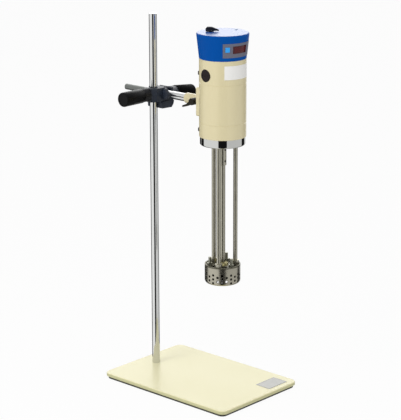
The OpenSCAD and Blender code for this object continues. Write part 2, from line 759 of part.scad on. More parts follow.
panel_z = upper_top + cap_height * 0.42;
cap_slope = (cap_top_radius - housing_radius) / cap_height;
panel_skin = 0.5;
display_skin = 0.9;
cap_screw_angles = [80, 137, 194];
cap_screw_z = upper_top + spigot_height / 2;
key_angle = -32.5;
key_z = panel_z + 2.3;
display_z = panel_z + 1.3;
key_gap = 0.3;
key_travel = 1;
key_rise = 1.4;
inlet_angle = 137;
inlet_z = upper_top + 24;
inlet_radius = 6;
inlet_flare = inlet_radius + 2.5;
inlet_reach = 7;                  // from the cap's skin to the gland's outer end
dial_angle = 205;
dial_play = 1;
spindle = 6;
board_z = upper_top + spigot_height + 1;
board_thickness = 1.6;
board_radius = housing_bore - 2.5;
display_width = 26;
board_hole = 4;
board_hole_place = 20;
board_post = 3;
board_post_circle = 31;
capacitor_radius = 8;
capacitor_height = 20;
capacitor_place = [-20, 12];
heat_sink_place = [-12, -28];
heat_sink_size = [24, 5, 16];
relay_place = [-6, -20];
relay_size = [12, 9, 10];

// Radius of the cap's outside at a height.
function cap_radius(z) = housing_radius + cap_slope * (z - upper_top);

// A conical skin of the cap between two heights, standing out by a thickness.
module cap_skin(low, high, inside, outside) translate([0, 0, low]) difference() {
  cylinder(r1 = cap_radius(low) + outside, r2 = cap_radius(high) + outside, h = high - low);
  translate([0, 0, -hair]) cylinder(r1 = cap_radius(low) + inside, r2 = cap_radius(high) + inside,
    h = high - low + 2 * hair);
}

// A piece of the cap's skin round the front of the panel.
module skin_patch(half_angle, middle, height, inside, outside) intersection() {
  cap_skin(middle - height / 2, middle + height / 2, inside, outside);
  translate([0, 0, middle - height]) linear_extrude(2 * height) sector(half_angle, cap_top_radius + 5);
}

module key_block(grow, inner, outer) rotate(key_angle) translate([inner, 0, key_z]) rotate([0, 90, 0])
  linear_extrude(outer - inner) square([key_height + 2 * grow, key_width + 2 * grow], center = true);

module at_dial() at_motor(dial_angle) translate([dial_offset, 0, 0]) children();

module control_cap() color("#0d4aa8") difference() {
  at_motor(motor_turn) translate([0, 0, upper_top]) rotate_extrude() polygon(concat(
    [[housing_radius - cap_wall, 0], [housing_radius, 0]],
    [for (a = [0:15:90]) [cap_radius(cap_top) - cap_edge + cap_edge * cos(a) - cap_slope * cap_edge * (1 - sin(a)),
                          cap_height - cap_edge + cap_edge * sin(a)]],
    [[0, cap_height], [0, cap_height - cap_wall],
      [cap_top_radius - cap_wall - cap_slope * cap_wall - 0.2, cap_height - cap_wall]]));
  at_motor(motor_turn) {
    skin_patch(display_half_angle - 2, display_z, display_height - 2, -cap_wall - 2, 1);
    key_block(key_gap, cap_top_radius - 12, cap_top_radius + 2);
  }
  out_of_motor(inlet_angle + motor_turn, inlet_z) rotate([0, 90, 0])
    cylinder(r = inlet_radius + running_fit, h = cap_top_radius + 5);
  for (angle = cap_screw_angles) out_of_motor(angle + motor_turn, cap_screw_z) rotate([0, 90, 0])
    cylinder(d = 2.5 + 2 * running_fit, h = cap_top_radius);
  at_dial() translate([0, 0, cap_top - 10]) cylinder(d = spindle + 2 * air_gap, h = 20);
  at_plug() translate([0, 0, cap_top - 10]) cylinder(d = 3 + 2 * running_fit, h = 20);
}

module cap_screws() color("#2a2a28") for (angle = cap_screw_angles)
  out_of_motor(angle + motor_turn, cap_screw_z) rotate([0, 90, 0]) {
    translate([0, 0, housing_bore - 4]) cylinder(d = 2.5, h = housing_wall + 5);
    translate([0, 0, cap_radius(cap_screw_z) + 0.25]) cylinder(d1 = 5, d2 = 4, h = 1.2);
  }

module at_plug() at_motor(90) translate([39, 0, 0]) children();

module top_plug() color("#8d8f92") at_plug() translate([0, 0, cap_top]) {
  cylinder(d1 = 6, d2 = 4.5, h = 1.2);
  translate([0, 0, -5]) cylinder(d = 3, h = 5.5);
}

module cord_inlet() color("#1d1d1f") out_of_motor(inlet_angle + motor_turn, inlet_z)
  rotate([0, 90, 0]) difference() {
    union() {
      translate([0, 0, cap_radius(inlet_z) - 9]) cylinder(r = inlet_radius, h = 9 + inlet_reach);
      translate([0, 0, cap_radius(inlet_z + inlet_flare) + air_gap]) cylinder(r1 = inlet_flare, r2 = inlet_radius + 1,
        h = cap_radius(inlet_z) + inlet_reach - cap_radius(inlet_z + inlet_flare) - air_gap);
    }
    translate([0, 0, cap_radius(inlet_z) - 10]) cylinder(r = 3.5, h = 20);
  }

module control_panel() color("#6f6f7b") at_motor(motor_turn) difference() {
  skin_patch(panel_half_angle, panel_z, panel_height, hair, panel_skin);
  skin_patch(display_half_angle, display_z, display_height, -1, 1);
  key_block(key_gap, cap_top_radius - 12, cap_top_radius + 2);
}

module display_window() color("#4b1a1e") at_motor(motor_turn) difference() {
  skin_patch(display_half_angle - 0.1, display_z, display_height - 0.1, hair, display_skin);
  skin_patch(display_half_angle - 3, display_z, display_height - 3, -1, 0.2);
}

module display_module() color("#2c2c2e") at_motor(motor_turn)
  translate([cap_radius(display_z) - 13, 0, 0]) {
    translate([0, -display_width / 2, display_z - display_height / 2 + 1])
      cube([7, display_width, display_height - 2]);
    translate([-1.6, -display_width / 2 - 1, board_z + board_thickness])
      cube([1.6, display_width + 2, display_z + display_height / 2 - board_z - board_thickness]);
  }

key_back = cap_radius(key_z) - cap_wall - 2.8;
switch_front = key_back - key_travel - air_gap;
switch_back = switch_front - 4;

module power_key() color("#3f9ade") at_motor(motor_turn) {
  key_block(0, key_back, cap_radius(key_z) + key_rise);
  key_block(1.2, key_back, key_back + 1.2);
}

// The switch stands on the circuit board.
module key_switch() color("#3a3a3c") at_motor(motor_turn) {
  key_block(-1, switch_back, switch_front);
  rotate(key_angle) translate([switch_back - 1.5, -key_width / 2 - 0.8, board_z + board_thickness])
    cube([1.5, key_width + 1.6, key_z + key_height / 2 - board_z - board_thickness]);
}

pointer_angle = 190;
pointer_reach = 17.5;             // from the spindle to the tip
pointer_back = 8.5;               // from the spindle to the blunt end
pointer_width = 6;
pointer_tip = 2.8;                // height of the tip's upper edge

module speed_knob() color("#1b1d22") at_dial() {
  translate([0, 0, cap_top + dial_play]) {
    cylinder(d1 = dial_diameter, d2 = dial_diameter - 2, h = dial_height * 0.45);
    rotate(pointer_angle) intersection() {
      rotate([90, 0, 0]) linear_extrude(2 * pointer_width, center = true) polygon([[-pointer_back, 0.6],
        [-pointer_back, dial_height * 0.6], [-pointer_back + 3, dial_height], [3.5, dial_height],
        [pointer_reach, pointer_tip], [pointer_reach, 0.6]]);
      linear_extrude(dial_height) polygon([[-pointer_back, -pointer_width / 2], [3.5, -pointer_width / 2],
        [pointer_reach - 1, -1.4], [pointer_reach, 0], [pointer_reach - 1, 1.4], [3.5, pointer_width / 2],
        [-pointer_back, pointer_width / 2]]);
    }
  }
  translate([0, 0, cap_top - cap_wall - 3]) cylinder(d = spindle, h = cap_wall + 3 + dial_play + 1);
}

module potentiometer() color("#7d7f7a") at_dial() difference() {
  union() {
    translate([0, 0, cap_top - cap_wall - 11]) cylinder(d = 17, h = 8);
    translate([0, 0, cap_top - cap_wall - 3.5]) cylinder(d = 10, h = 3.5);
  }
  translate([0, 0, cap_top - cap_wall - 3.5]) cylinder(d = spindle + 2 * air_gap, h = 5);
}

module circuit_board() color("#2f6b3c") at_motor(motor_turn) {
  translate([0, 0, board_z]) difference() {
    cylinder(r = board_radius, h = board_thickness);
    translate([board_hole_place, 0, -hair]) cylinder(r = board_hole, h = board_thickness + 1);
  }
  for (angle = [0:120:240]) rotate(angle + 60) translate([board_post_circle, 0, web_bottom + web_thickness])
    cylinder(r = board_post, h = board_z - web_bottom - web_thickness + board_thickness / 2);
  translate(concat(capacitor_place, board_z + board_thickness / 2))
    cylinder(r = capacitor_radius, h = capacitor_height);
  translate(concat(heat_sink_place, board_z + board_thickness / 2)) cube(heat_sink_size);
  translate(concat(relay_place, board_z + board_thickness / 2)) cube(relay_size);
}

// ---------------------------------------------------------------- drive line

coupling_top = flange_bottom - 1.5;
coupling_bottom = coupling_top - coupling_length;
coupling_middle = coupling_top - coupling_length * 0.5;
set_screw = 4;
set_screw_z = [coupling_bottom + 9, coupling_top - 9];

module coupling() color("#8f8d84") at_motor() difference() {
  translate([0, 0, coupling_bottom])
    bevelled_shell(coupling_diameter / 2, drive_diameter / 2 - 2, coupling_length, 0.6);
  translate([0, 0, coupling_bottom - hair])
    cylinder(d = drive_diameter + 2 * seat_gap, h = coupling_middle - coupling_bottom);
  translate([0, 0, coupling_middle - 1]) cylinder(d = shaft_diameter - 2 + 2 * seat_gap, h = coupling_length);
  for (z = set_screw_z) translate([0, 0, z]) rotate([0, 90, rod_turn + 60])
    cylinder(d = set_screw + 2 * running_fit, h = coupling_diameter);
}

module coupling_screws() color("#4c4c4a") at_motor() for (z = set_screw_z)
  translate([0, 0, z]) rotate([0, 90, rod_turn + 60]) difference() {
    start = (z == set_screw_z[0] ? drive_diameter : shaft_diameter - 2) / 2 + 2 * seat_gap;
    translate([0, 0, start]) cylinder(d = set_screw, h = coupling_diameter / 2 - start);
    translate([0, 0, coupling_diameter / 2 - 1]) cylinder(d = 2, h = 2, $fn = 6);
  }

rotor_bottom = stator_bottom + 4;
rotor_height = 17;
rotor_disc = 4;
rotor_thread = 8;
nut_height = 5;

module drive_shaft() color("#8f8d84") at_motor() {
  translate([0, 0, rotor_bottom + rotor_height]) cylinder(d = drive_diameter,
    h = coupling_middle - 2 - rotor_bottom - rotor_height);
  translate([0, 0, rotor_bottom]) cylinder(d = rotor_thread, h = rotor_height + 1);
}

// ---------------------------------------------------------------- working head

module rods_at(z) for (i = [0:2])
  out_of_motor(rod_turn + 120 * i, z) translate([rod_circle, 0, 0]) children();

stud_circle = 26;
stud_diameter = 6;
stud_nut_flats = 10;
stud_nut_height = 5;
thin_nut_height = 3;

module studs_at(z) for (i = [0:2])
  out_of_motor(rod_turn + 60 + 120 * i, z) translate([stud_circle, 0, 0]) children();

rod_screw = 5;
rod_screw_head = 8.5;
rod_screw_length = 16;
foot_diameter = 15;
foot_height = 8;

// Each rod stands on a thick foot, which is flattened where the cage's rim passes it.
module rod_feet() intersection() {
  rods_at(head_top) cylinder(d = foot_diameter, h = foot_height);
  at_motor() translate([0, 0, head_top]) cylinder(r = head_radius - air_gap, h = foot_height);
}

module support_rods() color("#8f8d84") difference() {
  union() {
    rods_at(head_top) cylinder(d = rod_diameter, h = rod_length);
    rod_feet();
    rods_at(flange_bottom - 1) cylinder(d = rod_thread, h = rod_socket + 1);
  }
  rods_at(head_top - hair) cylinder(d = rod_screw + 2 * running_fit, h = rod_screw_length);
}

module rod_screws() color("#77756d") rods_at(head_bottom) mirror([0, 0, 1]) difference() {
  countersunk(rod_screw_head, rod_screw, rod_screw_length);
  translate([0, 0, -1.6]) cylinder(d = 3, h = 3, $fn = 6);
}

head_radius = stator_diameter / 2 - stator_wall - seat_gap;
bush_radius = 7;
bush_flange = 11.5;
bush_flange_height = 4;

module head_plate() color("#8a8880") difference() {
  at_motor() translate([0, 0, head_bottom]) cylinder(r = head_radius, h = head_thickness);
  at_motor() translate([0, 0, head_bottom - hair]) cylinder(r = bush_radius + seat_gap, h = head_thickness + 1);
  rods_at(head_bottom) mirror([0, 0, 1]) countersunk_hole(rod_screw_head, rod_screw, rod_screw_length);
  studs_at(head_bottom - hair) cylinder(d = stud_diameter + 2 * running_fit, h = head_thickness + 1);
  head_openings();
}

// Six round openings through the head plate and the cage's upper ring.
module head_openings() for (i = [0:5]) out_of_motor(rod_turn + 30 + 60 * i, head_bottom - cage_flange - hair)
  translate([head_radius - 10, 0, 0]) cylinder(r = 5.5, h = head_thickness + cage_flange + 1);

cage_flange = 3;
cage_flange_bore = 19.5;

module head_studs() color("#8a8880") studs_at(head_bottom - cage_flange - thin_nut_height)
  cylinder(d = stud_diameter, h = cage_flange + thin_nut_height + head_thickness + stud_height);

module stud_nuts() color("#77756d") {
  studs_at(head_top) hexagon_nut(stud_nut_flats, stud_diameter + 2 * running_fit, stud_nut_height);
  studs_at(head_bottom - cage_flange - thin_nut_height)
    hexagon_nut(stud_nut_flats, stud_diameter + 2 * running_fit, thin_nut_height);
}

module shaft_bush() color("#a58f52") at_motor() difference() {
  union() {
    translate([0, 0, head_bottom]) cylinder(r = bush_radius, h = head_thickness + 1);
    translate([0, 0, head_top]) cylinder(r1 = bush_flange, r2 = bush_flange - 1, h = bush_flange_height);
  }
  translate([0, 0, head_bottom - 1]) cylinder(d = drive_diameter + 2 * running_fit, h = 20);
}

cage_edge = 6;
cage_floor = 2.5;
cage_bevel = 1;
inlet_bore = 15;                  // radius of the opening in the cage's floor
hole_rows_bottom = 5.9;
cage_bore = stator_diameter / 2 - stator_wall;

module stator_cage() color("#96948b") difference() {
  at_motor() translate([0, 0, stator_bottom]) rotate_extrude() difference() {
    union() {
      translate([0, cage_edge]) square([stator_diameter / 2, stator_height - cage_edge]);
      square([stator_diameter / 2 - cage_edge, stator_height]);
      translate([stator_diameter / 2 - cage_edge, cage_edge]) circle(cage_edge);
    }
    square([inlet_bore, cage_floor * 2]);
    square([cage_flange_bore, stator_height]);
    polygon([[0, cage_floor], [cage_bore - cage_bevel, cage_floor], [cage_bore, cage_floor + cage_bevel],
      [cage_bore, stator_height - rim_height - head_thickness - cage_flange],
      [0, stator_height - rim_height - head_thickness - cage_flange]]);
    translate([0, stator_height - rim_height - head_thickness])
      square([cage_bore, stator_height]);
  }
  for (i = [0:hole_columns - 1], row = [0:2]) if (i % 2 == 0 || row < 2)
    at_motor(rod_turn + 16 + i * 360 / hole_columns)
      translate([cage_bore - 3, 0,
        stator_bottom + hole_rows_bottom + (row + (i % 2) / 2) * hole_pitch])
        rotate([0, 90, 0]) cylinder(d = hole_diameter, h = stator_wall + 6, $fn = 24);
  studs_at(head_bottom - cage_flange - 1) cylinder(d = stud_diameter + 2 * running_fit, h = cage_flange + 2);
  head_openings();
}

rotor_radius = stator_diameter / 2 - stator_wall - shear_gap;

module rotor() color("#86847b") at_motor() translate([0, 0, rotor_bottom]) difference() {
  union() {
    cylinder(r = 9, h = rotor_height);
    translate([0, 0, rotor_height - rotor_disc]) cylinder(r = rotor_radius - 5, h = rotor_disc);
    for (i = [0:blade_count - 1]) rotate(i * 360 / blade_count) intersection() {
      translate([7, -2, 0]) cube([rotor_radius, 4, rotor_height]);
      cylinder(r = rotor_radius, h = rotor_height);
    }
  }
  translate([0, 0, -hair]) cylinder(r = 8, h = nut_height);
  translate([0, 0, -hair]) cylinder(r = rotor_thread / 2 + seat_gap, h = rotor_height + 1);
}

module rotor_nut() color("#77756d") at_motor() translate([0, 0, rotor_bottom - seat_gap])
  hexagon_nut(13, rotor_thread + 2 * seat_gap, nut_height);

base_plate();
base_mat();
base_label();
column();
column_bolt();
boss_head();
column_screw();
column_knob();
arm_screw();
arm_knob();
support_arm();
bracket();
bracket_screws();
lever_screw();
clamp_lever();
lower_cover();
field_housing();
upper_cover();
cover_screws();
body_label();
end_flange();
flange_screws();
brush_caps();
brush_holders();
carbon_brushes();
brush_springs();
field_core();
field_windings();
armature_core();
armature_windings();
commutator();
motor_shaft();
cooling_fan();
upper_bearing();
lower_bearing();
control_cap();
cap_screws();
top_plug();
cord_inlet();
control_panel();
display_window();
display_module();
power_key();
key_switch();
speed_knob();
potentiometer();
circuit_board();
coupling();
coupling_screws();
drive_shaft();
support_rods();
rod_screws();
head_plate();
head_studs();
stud_nuts();
shaft_bush();
stator_cage();
rotor();
rotor_nut();
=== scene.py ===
"""A rotor stator homogenizer on its bench stand: finishes, trim and studio."""

from __future__ import annotations

import logging
import math
from contextlib import contextmanager
from dataclasses import dataclass
from enum import Enum
from typing import Callable, Iterator, Sequence

import bmesh
import bpy
from mathutils import Matrix, Vector


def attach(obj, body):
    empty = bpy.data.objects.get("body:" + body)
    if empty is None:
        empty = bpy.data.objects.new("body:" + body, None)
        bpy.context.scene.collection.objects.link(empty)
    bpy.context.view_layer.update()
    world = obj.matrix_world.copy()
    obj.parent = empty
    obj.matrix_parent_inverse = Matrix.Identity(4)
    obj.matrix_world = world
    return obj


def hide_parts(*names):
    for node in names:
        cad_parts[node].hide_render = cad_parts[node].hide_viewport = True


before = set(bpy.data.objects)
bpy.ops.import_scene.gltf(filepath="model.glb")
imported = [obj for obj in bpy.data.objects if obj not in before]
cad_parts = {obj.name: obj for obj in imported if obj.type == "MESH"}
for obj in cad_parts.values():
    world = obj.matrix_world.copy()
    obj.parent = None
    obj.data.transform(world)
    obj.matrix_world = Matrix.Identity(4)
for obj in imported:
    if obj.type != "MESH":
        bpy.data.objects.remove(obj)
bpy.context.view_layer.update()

LOG = logging.getLogger("homogenizer")

Span = tuple[float, float]
Triple = tuple[float, float, float]

MOTOR_AXIS = (0.039, 0.025)
MOTOR_TURN = math.radians(-5)
COLUMN_X = -125.0
ARM_Y = 25.0
MM = 0.001


def linear(red: int, green: int, blue: int) -> Triple:
    """Scene-linear colour of a screen colour.

    Args:
        red: Red, 0 to 255.
        green: Green, 0 to 255.
        blue: Blue, 0 to 255.

    Returns:
        The three linear values.
    """
    def channel(value: int) -> float:
        """One linear channel."""
        share = value / 255
        return share / 12.92 if share <= 0.04045 else ((share + 0.055) / 1.055) ** 2.4

    return channel(red), channel(green), channel(blue)


# --------------------------------------------------------------------------- shader maths


class Signal:
    """A shader socket that takes part in arithmetic."""

    def __init__(self, graph: "Graph", socket: bpy.types.NodeSocket) -> None:
        """Keeps the socket and the graph that it is in."""
        self.graph = graph
        self.socket = socket

    def __add__(self, other: "Signal | float") -> "Signal":
        """Sum."""
        return self.graph.maths("ADD", self, other)

    __radd__ = __add__

    def __sub__(self, other: "Signal | float") -> "Signal":
        """Difference."""
        return self.graph.maths("SUBTRACT", self, other)

    def __rsub__(self, other: float) -> "Signal":
        """Difference with the number first."""
        return self.graph.maths("SUBTRACT", other, self)

    def __mul__(self, other: "Signal | float") -> "Signal":
        """Product."""
        return self.graph.maths("MULTIPLY", self, other)

    __rmul__ = __mul__

    def __gt__(self, other: float) -> "Signal":
        """One where this is greater."""
        return self.graph.maths("GREATER_THAN", self, other)

    def __lt__(self, other: float) -> "Signal":
        """One where this is less."""
        return self.graph.maths("LESS_THAN", self, other)

    def __abs__(self) -> "Signal":
        """Absolute value."""
        return self.graph.maths("ABSOLUTE", self)

    def sine(self) -> "Signal":
        """Sine."""
        return self.graph.maths("SINE", self)

    def fraction(self) -> "Signal":
        """The part after the decimal point."""
        return self.graph.maths("FRACT", self)

    def ramp(self, low: float, high: float) -> "Signal":
        """Smooth step from 0 at low to 1 at high."""
        node = self.graph.node(
            "ShaderNodeMapRange", {"interpolation_type": "SMOOTHSTEP"},
            {"Value": self, "From Min": low, "From Max": high})
        return Signal(self.graph, node.outputs["Result"])


class Graph:
    """Nodes of one material or world."""

    def __init__(self, tree: bpy.types.NodeTree) -> None:
        """Empties the tree."""
        self.tree = tree
        tree.nodes.clear()

    def node(self, kind: str, settings: dict | None = None, sockets: dict | None = None) -> bpy.types.Node:
        """Makes one node.

        Args:
            kind: The node's type.
            settings: Properties that are set first.
            sockets: Values or links, by socket name or number.

        Returns:
            The new node.
        """
        made = self.tree.nodes.new(kind)
        for key, value in (settings or {}).items():
            setattr(made, key, value)
        for key, value in (sockets or {}).items():
            if isinstance(value, Signal):
                self.tree.links.new(value.socket, made.inputs[key])
            elif isinstance(value, bpy.types.NodeSocket):
                self.tree.links.new(value, made.inputs[key])
            else:
                made.inputs[key].default_value = value
        return made

    def maths(self, operation: str, *values: "Signal | float") -> Signal:
        """One Math node on the given values."""
        made = self.node("ShaderNodeMath", {"operation": operation}, dict(enumerate(values)))
        return Signal(self, made.outputs[0])

    def place(self, scale: Triple = (1, 1, 1), offset: Triple = (0, 0, 0)) -> bpy.types.NodeSocket:
        """Object coordinates in metres, moved and then stretched."""
        made = self.node("ShaderNodeTexCoord")
        moved = self.node("ShaderNodeVectorMath", {"operation": "ADD"},
                          {0: made.outputs["Object"], 1: offset})
        grown = self.node("ShaderNodeVectorMath", {"operation": "MULTIPLY"}, {0: moved.outputs[0], 1: scale})
        return grown.outputs[0]

    def axes(self, offset: Triple = (0, 0, 0)) -> tuple[Signal, Signal, Signal]:
        """The three object coordinates, in metres, after a move."""
        made = self.node("ShaderNodeSeparateXYZ", None, {0: self.place(offset=offset)})
        return tuple(Signal(self, made.outputs[i]) for i in range(3))

    def noise(self, where: bpy.types.NodeSocket, scale: float = 1, detail: float = 2,
              rough: float = 0.5) -> Signal:
        """Soft noise from 0 to 1."""
        made = self.node("ShaderNodeTexNoise", {"noise_dimensions": "3D"},
                         {"Vector": where, "Scale": scale, "Detail": detail, "Roughness": rough})
        return Signal(self, made.outputs["Fac"])

    def cells(self, where: bpy.types.NodeSocket, scale: float) -> Signal:
        """Distance to the nearest of many scattered points."""
        made = self.node("ShaderNodeTexVoronoi", {"feature": "F1"}, {"Vector": where, "Scale": scale})
        return Signal(self, made.outputs["Distance"])

    def blend(self, first: "Triple | bpy.types.NodeSocket", second: "Triple | bpy.types.NodeSocket",
              share: "Signal | float") -> bpy.types.NodeSocket:
        """Mixes two colours; share 0 gives the first."""
        def paint(value: "Triple | bpy.types.NodeSocket") -> object:
            """A colour with its alpha, or the socket itself."""
            return (*value, 1) if isinstance(value, tuple) else value

        made = self.node("ShaderNodeMix", {"data_type": "RGBA"},
                         {0: share, 6: paint(first), 7: paint(second)})
        return made.outputs[2]

    def bump(self, height: Signal, depth: float, strength: float = 1) -> bpy.types.NodeSocket:
        """A normal from a height between 0 and 1 that is depth metres deep."""
        made = self.node("ShaderNodeBump", None, {"Strength": strength, "Distance": depth, "Height": height})
        return made.outputs["Normal"]


# --------------------------------------------------------------------------- finishes


class Grain(Enum):
    """Direction of the fine lines in a metal surface."""

    ALONG_X = (0.02, 1.0, 1.0)
    ALONG_Y = (1.0, 0.02, 1.0)
    ALONG_Z = (1.0, 1.0, 0.02)
    TURNED = (0.0, 0.0, 1.0)
    NONE = (1.0, 1.0, 1.0)


@dataclass(frozen=True)
class Finish:
    """What every finish has."""

    name: str
    colour: Triple
    roughness: float = 0.5
    metallic: float = 0.0
    coat: float = 0.0
    coat_roughness: float = 0.05
    specular: float = 0.5

    def surface(self, graph: Graph) -> dict:
        """Inputs of the surface shader that vary or differ from the plain values."""
        return {}

    def material(self) -> bpy.types.Material:
        """The material of this finish, made once."""
        found = bpy.data.materials.get(self.name)
        if found:
            return found
        made = bpy.data.materials.new(self.name)
        made.use_nodes = True
        made.diffuse_color = (*self.colour, 1)
        graph = Graph(made.node_tree)
        inputs = {"Base Color": (*self.colour, 1), "Roughness": self.roughness, "Metallic": self.metallic,
                  "Coat Weight": self.coat, "Coat Roughness": self.coat_roughness,
                  "Specular IOR Level": self.specular}
        inputs.update(self.surface(graph))
        shader = graph.node("ShaderNodeBsdfPrincipled", None, inputs)
        graph.node("ShaderNodeOutputMaterial", None, {"Surface": shader.outputs[0]})
        return made


@dataclass(frozen=True)
class Enamel(Finish):
    """Stoved paint with a faint orange peel and a little wear."""

    shade: Triple = (0.6, 0.5, 0.35)
    peel: float = 0.00002
    grime: float = 0.25

    def surface(self, graph: Graph) -> dict:
        """Cloudy tone, peel and slightly duller patches."""
        where = graph.place()
        cloud = graph.noise(where, 9, 4)
        specks = graph.cells(where, 700)
        tone = (cloud - 0.4) * self.grime + (0.16 - specks).ramp(0, 0.12) * (0.35 * self.grime)
        return {"Base Color": graph.blend(self.colour, self.shade, tone.ramp(0, 1)),
                "Roughness": self.roughness + (cloud - 0.5) * 0.12,
                "Normal": graph.bump(graph.noise(where, 420, 2), self.peel, 0.6)}


@dataclass(frozen=True)
class Deck(Enamel):
    """Enamel whose sides below the top face carry a painted shade, greener and darker than the top."""

    top: float = 0.0125
    fade: Span = (0.0022, 0.0004)
    # painted shade: the colour of the base's sides, darker and greener than the top
    low: Triple = linear(196, 194, 146)
    side_shade_share: float = 0.85

    def surface(self, graph: Graph) -> dict:
        """The enamel, with the painted side shade below the top face."""
        inputs = super().surface(graph)
        # painted shade: everything below the top face takes the darker side colour
        edge = 1 - graph.axes()[2].ramp(self.top - self.fade[0], self.top - self.fade[1])
        inputs["Base Color"] = graph.blend(inputs["Base Color"], self.low, edge * self.side_shade_share)
        return inputs


@dataclass(frozen=True)
class Metal(Finish):
    """Bare metal with grinding lines along one direction."""

    metallic: float = 1.0
    grain: Grain = Grain.NONE
    lines: float = 900.0
    depth: float = 0.0000015
    contrast: float = 0.25
    tint: Triple = (0.3, 0.28, 0.24)
    centre: Triple = (-MOTOR_AXIS[0], -MOTOR_AXIS[1], 0.0)

    def surface(self, graph: Graph) -> dict:
        """Lines, clouding and a slight tint."""
        if self.grain is Grain.TURNED:
            x, y, z = graph.axes(self.centre)
            radius = graph.maths("SQRT", x * x + y * y)
            joined = graph.node("ShaderNodeCombineXYZ", None, {0: radius, 1: z, 2: 0.0})
            lines = graph.noise(joined.outputs[0], self.lines, 3, 0.6)
        else:
            lines = graph.noise(graph.place(self.grain.value), self.lines, 3, 0.6)
        cloud = graph.noise(graph.place(), 35, 3)
        share = (cloud.ramp(0.35, 0.75) * 0.3 + lines * 0.3) * self.contrast
        return {"Base Color": graph.blend(self.colour, self.tint, share),
                "Roughness": self.roughness + (lines - 0.5) * (0.5 * self.contrast) + (cloud - 0.5) * 0.08,
                "Normal": graph.bump(lines, self.depth, 0.5)}


@dataclass(frozen=True)
class Cage(Metal):
    """Turned metal with painted shade inside and in its holes, and dull on top."""

    bore: float = 0.0332
    hole_depth: float = 0.0024
    floor: float = 0.2205
    ceiling: float = 0.2495
    plate_top: float = 0.2555
    step: float = 0.005
    # painted shade: near-black colour for the inside of the cage and its holes
    inside_shade: Triple = (0.01, 0.009, 0.007)
    dull: Triple = linear(112, 110, 96)
    dulled: float = 0.22

    def surface(self, graph: Graph) -> dict:
        """The turned metal, with the painted shade inside and the dull top."""
        inputs = super().surface(graph)
        x, y, z = graph.axes(self.centre)
        limit = z.ramp(self.floor, self.floor + self.step) * self.hole_depth + self.bore
        # painted shade: the inside and the hole walls go near-black and non-metallic
        inside = (graph.maths("SQRT", x * x + y * y) - limit < 0) * (z < self.ceiling)
        top = z > self.plate_top
        tone = graph.blend(inputs["Base Color"], self.dull, top)
        inputs["Base Color"] = graph.blend(tone, self.inside_shade, inside)
        inputs["Roughness"] = inputs["Roughness"] + top * self.dulled
        inputs["Metallic"] = 1 - inside
        return inputs


@dataclass(frozen=True)
class Spigot(Metal):
    """Polished rod whose thin end is bare and dull."""

    limit: float = -0.1065
    bare: Triple = (0.19, 0.2, 0.19)
    dulled: float = 0.28

    def surface(self, graph: Graph) -> dict:
        """The polish, with the dull end."""
        inputs = super().surface(graph)
        dull = graph.axes()[0] < self.limit
        inputs["Base Color"] = graph.blend(inputs["Base Color"], self.bare, dull)
        inputs["Roughness"] = inputs["Roughness"] + dull * self.dulled
        return inputs


@dataclass(frozen=True)
class Plate(Metal):
    """Blank foil plate with a pressed line round it."""

    middle: Triple = (-0.134, -0.068, 0.0)
    half: Span = (0.018, 0.028)
    margin: float = 0.0018
    line: Span = (0.0002, 0.0004)
    ink: Triple = linear(92, 92, 90)

    def surface(self, graph: Graph) -> dict:
        """The foil and its line."""
        inputs = super().surface(graph)
        x, y, _ = graph.axes(self.middle)
        inset = graph.maths("MINIMUM", self.half[0] - abs(x), self.half[1] - abs(y))
        line = 1 - abs(inset - self.margin).ramp(*self.line)
        inputs["Base Color"] = graph.blend(inputs["Base Color"], self.ink, line)
        return inputs


@dataclass(frozen=True)
class Moulded(Finish):
    """Moulded plastic or rubber with a fine grain and worn high spots."""

    grain_scale: float = 1500.0
    depth: float = 0.00001
    worn: Triple = (0.2, 0.2, 0.2)
    wear: float = 0.15

    def surface(self, graph: Graph) -> dict:
        """Grain, faint scuffs and patchy gloss."""
        where = graph.place()
        grain = graph.noise(where, self.grain_scale, 2)
        scuff = graph.noise(graph.place((1, 1, 0.25)), 120, 5, 0.7).ramp(0.55, 0.8)
        return {"Base Color": graph.blend(self.colour, self.worn, scuff * self.wear),
                "Roughness": self.roughness + scuff * 0.12 + (grain - 0.5) * 0.05,
                "Normal": graph.bump(grain, self.depth, 0.5)}


@dataclass(frozen=True)
class Shell(Moulded):
    """Moulded shell whose flat top is lacquered and whose sides are satin."""

    top: float = 0.7269
    fade: float = 0.0008

    def surface(self, graph: Graph) -> dict:
        """The moulded skin, with the lacquer by height."""
        inputs = super().surface(graph)
        inputs["Coat Weight"] = graph.axes()[2].ramp(self.top - self.fade, self.top)
        return inputs


@dataclass(frozen=True)
class Casting(Finish):
    """Painted casting with a sandy skin and a darker neck in front."""

    pits: float = 0.00006
    edge: Triple = (0.2, 0.22, 0.27)
    neck: float = -0.021
    fade: float = 0.004
    neck_tone: Triple = linear(10, 11, 15)

    def surface(self, graph: Graph) -> dict:
        """Sandy skin, cloudy paint, dark neck."""
        where = graph.place()
        sand = graph.noise(where, 650, 4, 0.6)
        cloud = graph.noise(where, 45, 3)
        paint = graph.blend(self.colour, self.edge, cloud.ramp(0.45, 0.85) * 0.5 + sand * 0.1)
        # near-black towards the front, past the neck line
        dark = 1 - graph.axes()[1].ramp(self.neck, self.neck + self.fade)
        return {"Base Color": graph.blend(paint, self.neck_tone, dark),
                "Roughness": self.roughness + (sand - 0.5) * 0.25,
                "Normal": graph.bump(sand, self.pits, 0.7)}


@dataclass(frozen=True)
class Wound(Finish):
    """Layers of varnished wire round the motor's axis or along it."""

    pitch: float = 0.0008
    lean: float = 0.35
    dark: Triple = (0.12, 0.04, 0.015)

    def surface(self, graph: Graph) -> dict:
        """Rows of round wire."""
        x, y, z = graph.axes()
        row = abs(((z + (x + y) * self.lean) * (2 * math.pi / self.pitch)).sine())
        return {"Base Color": graph.blend(self.dark, self.colour, row.ramp(0.0, 0.6)),
                "Normal": graph.bump(row, 0.0002, 0.8)}


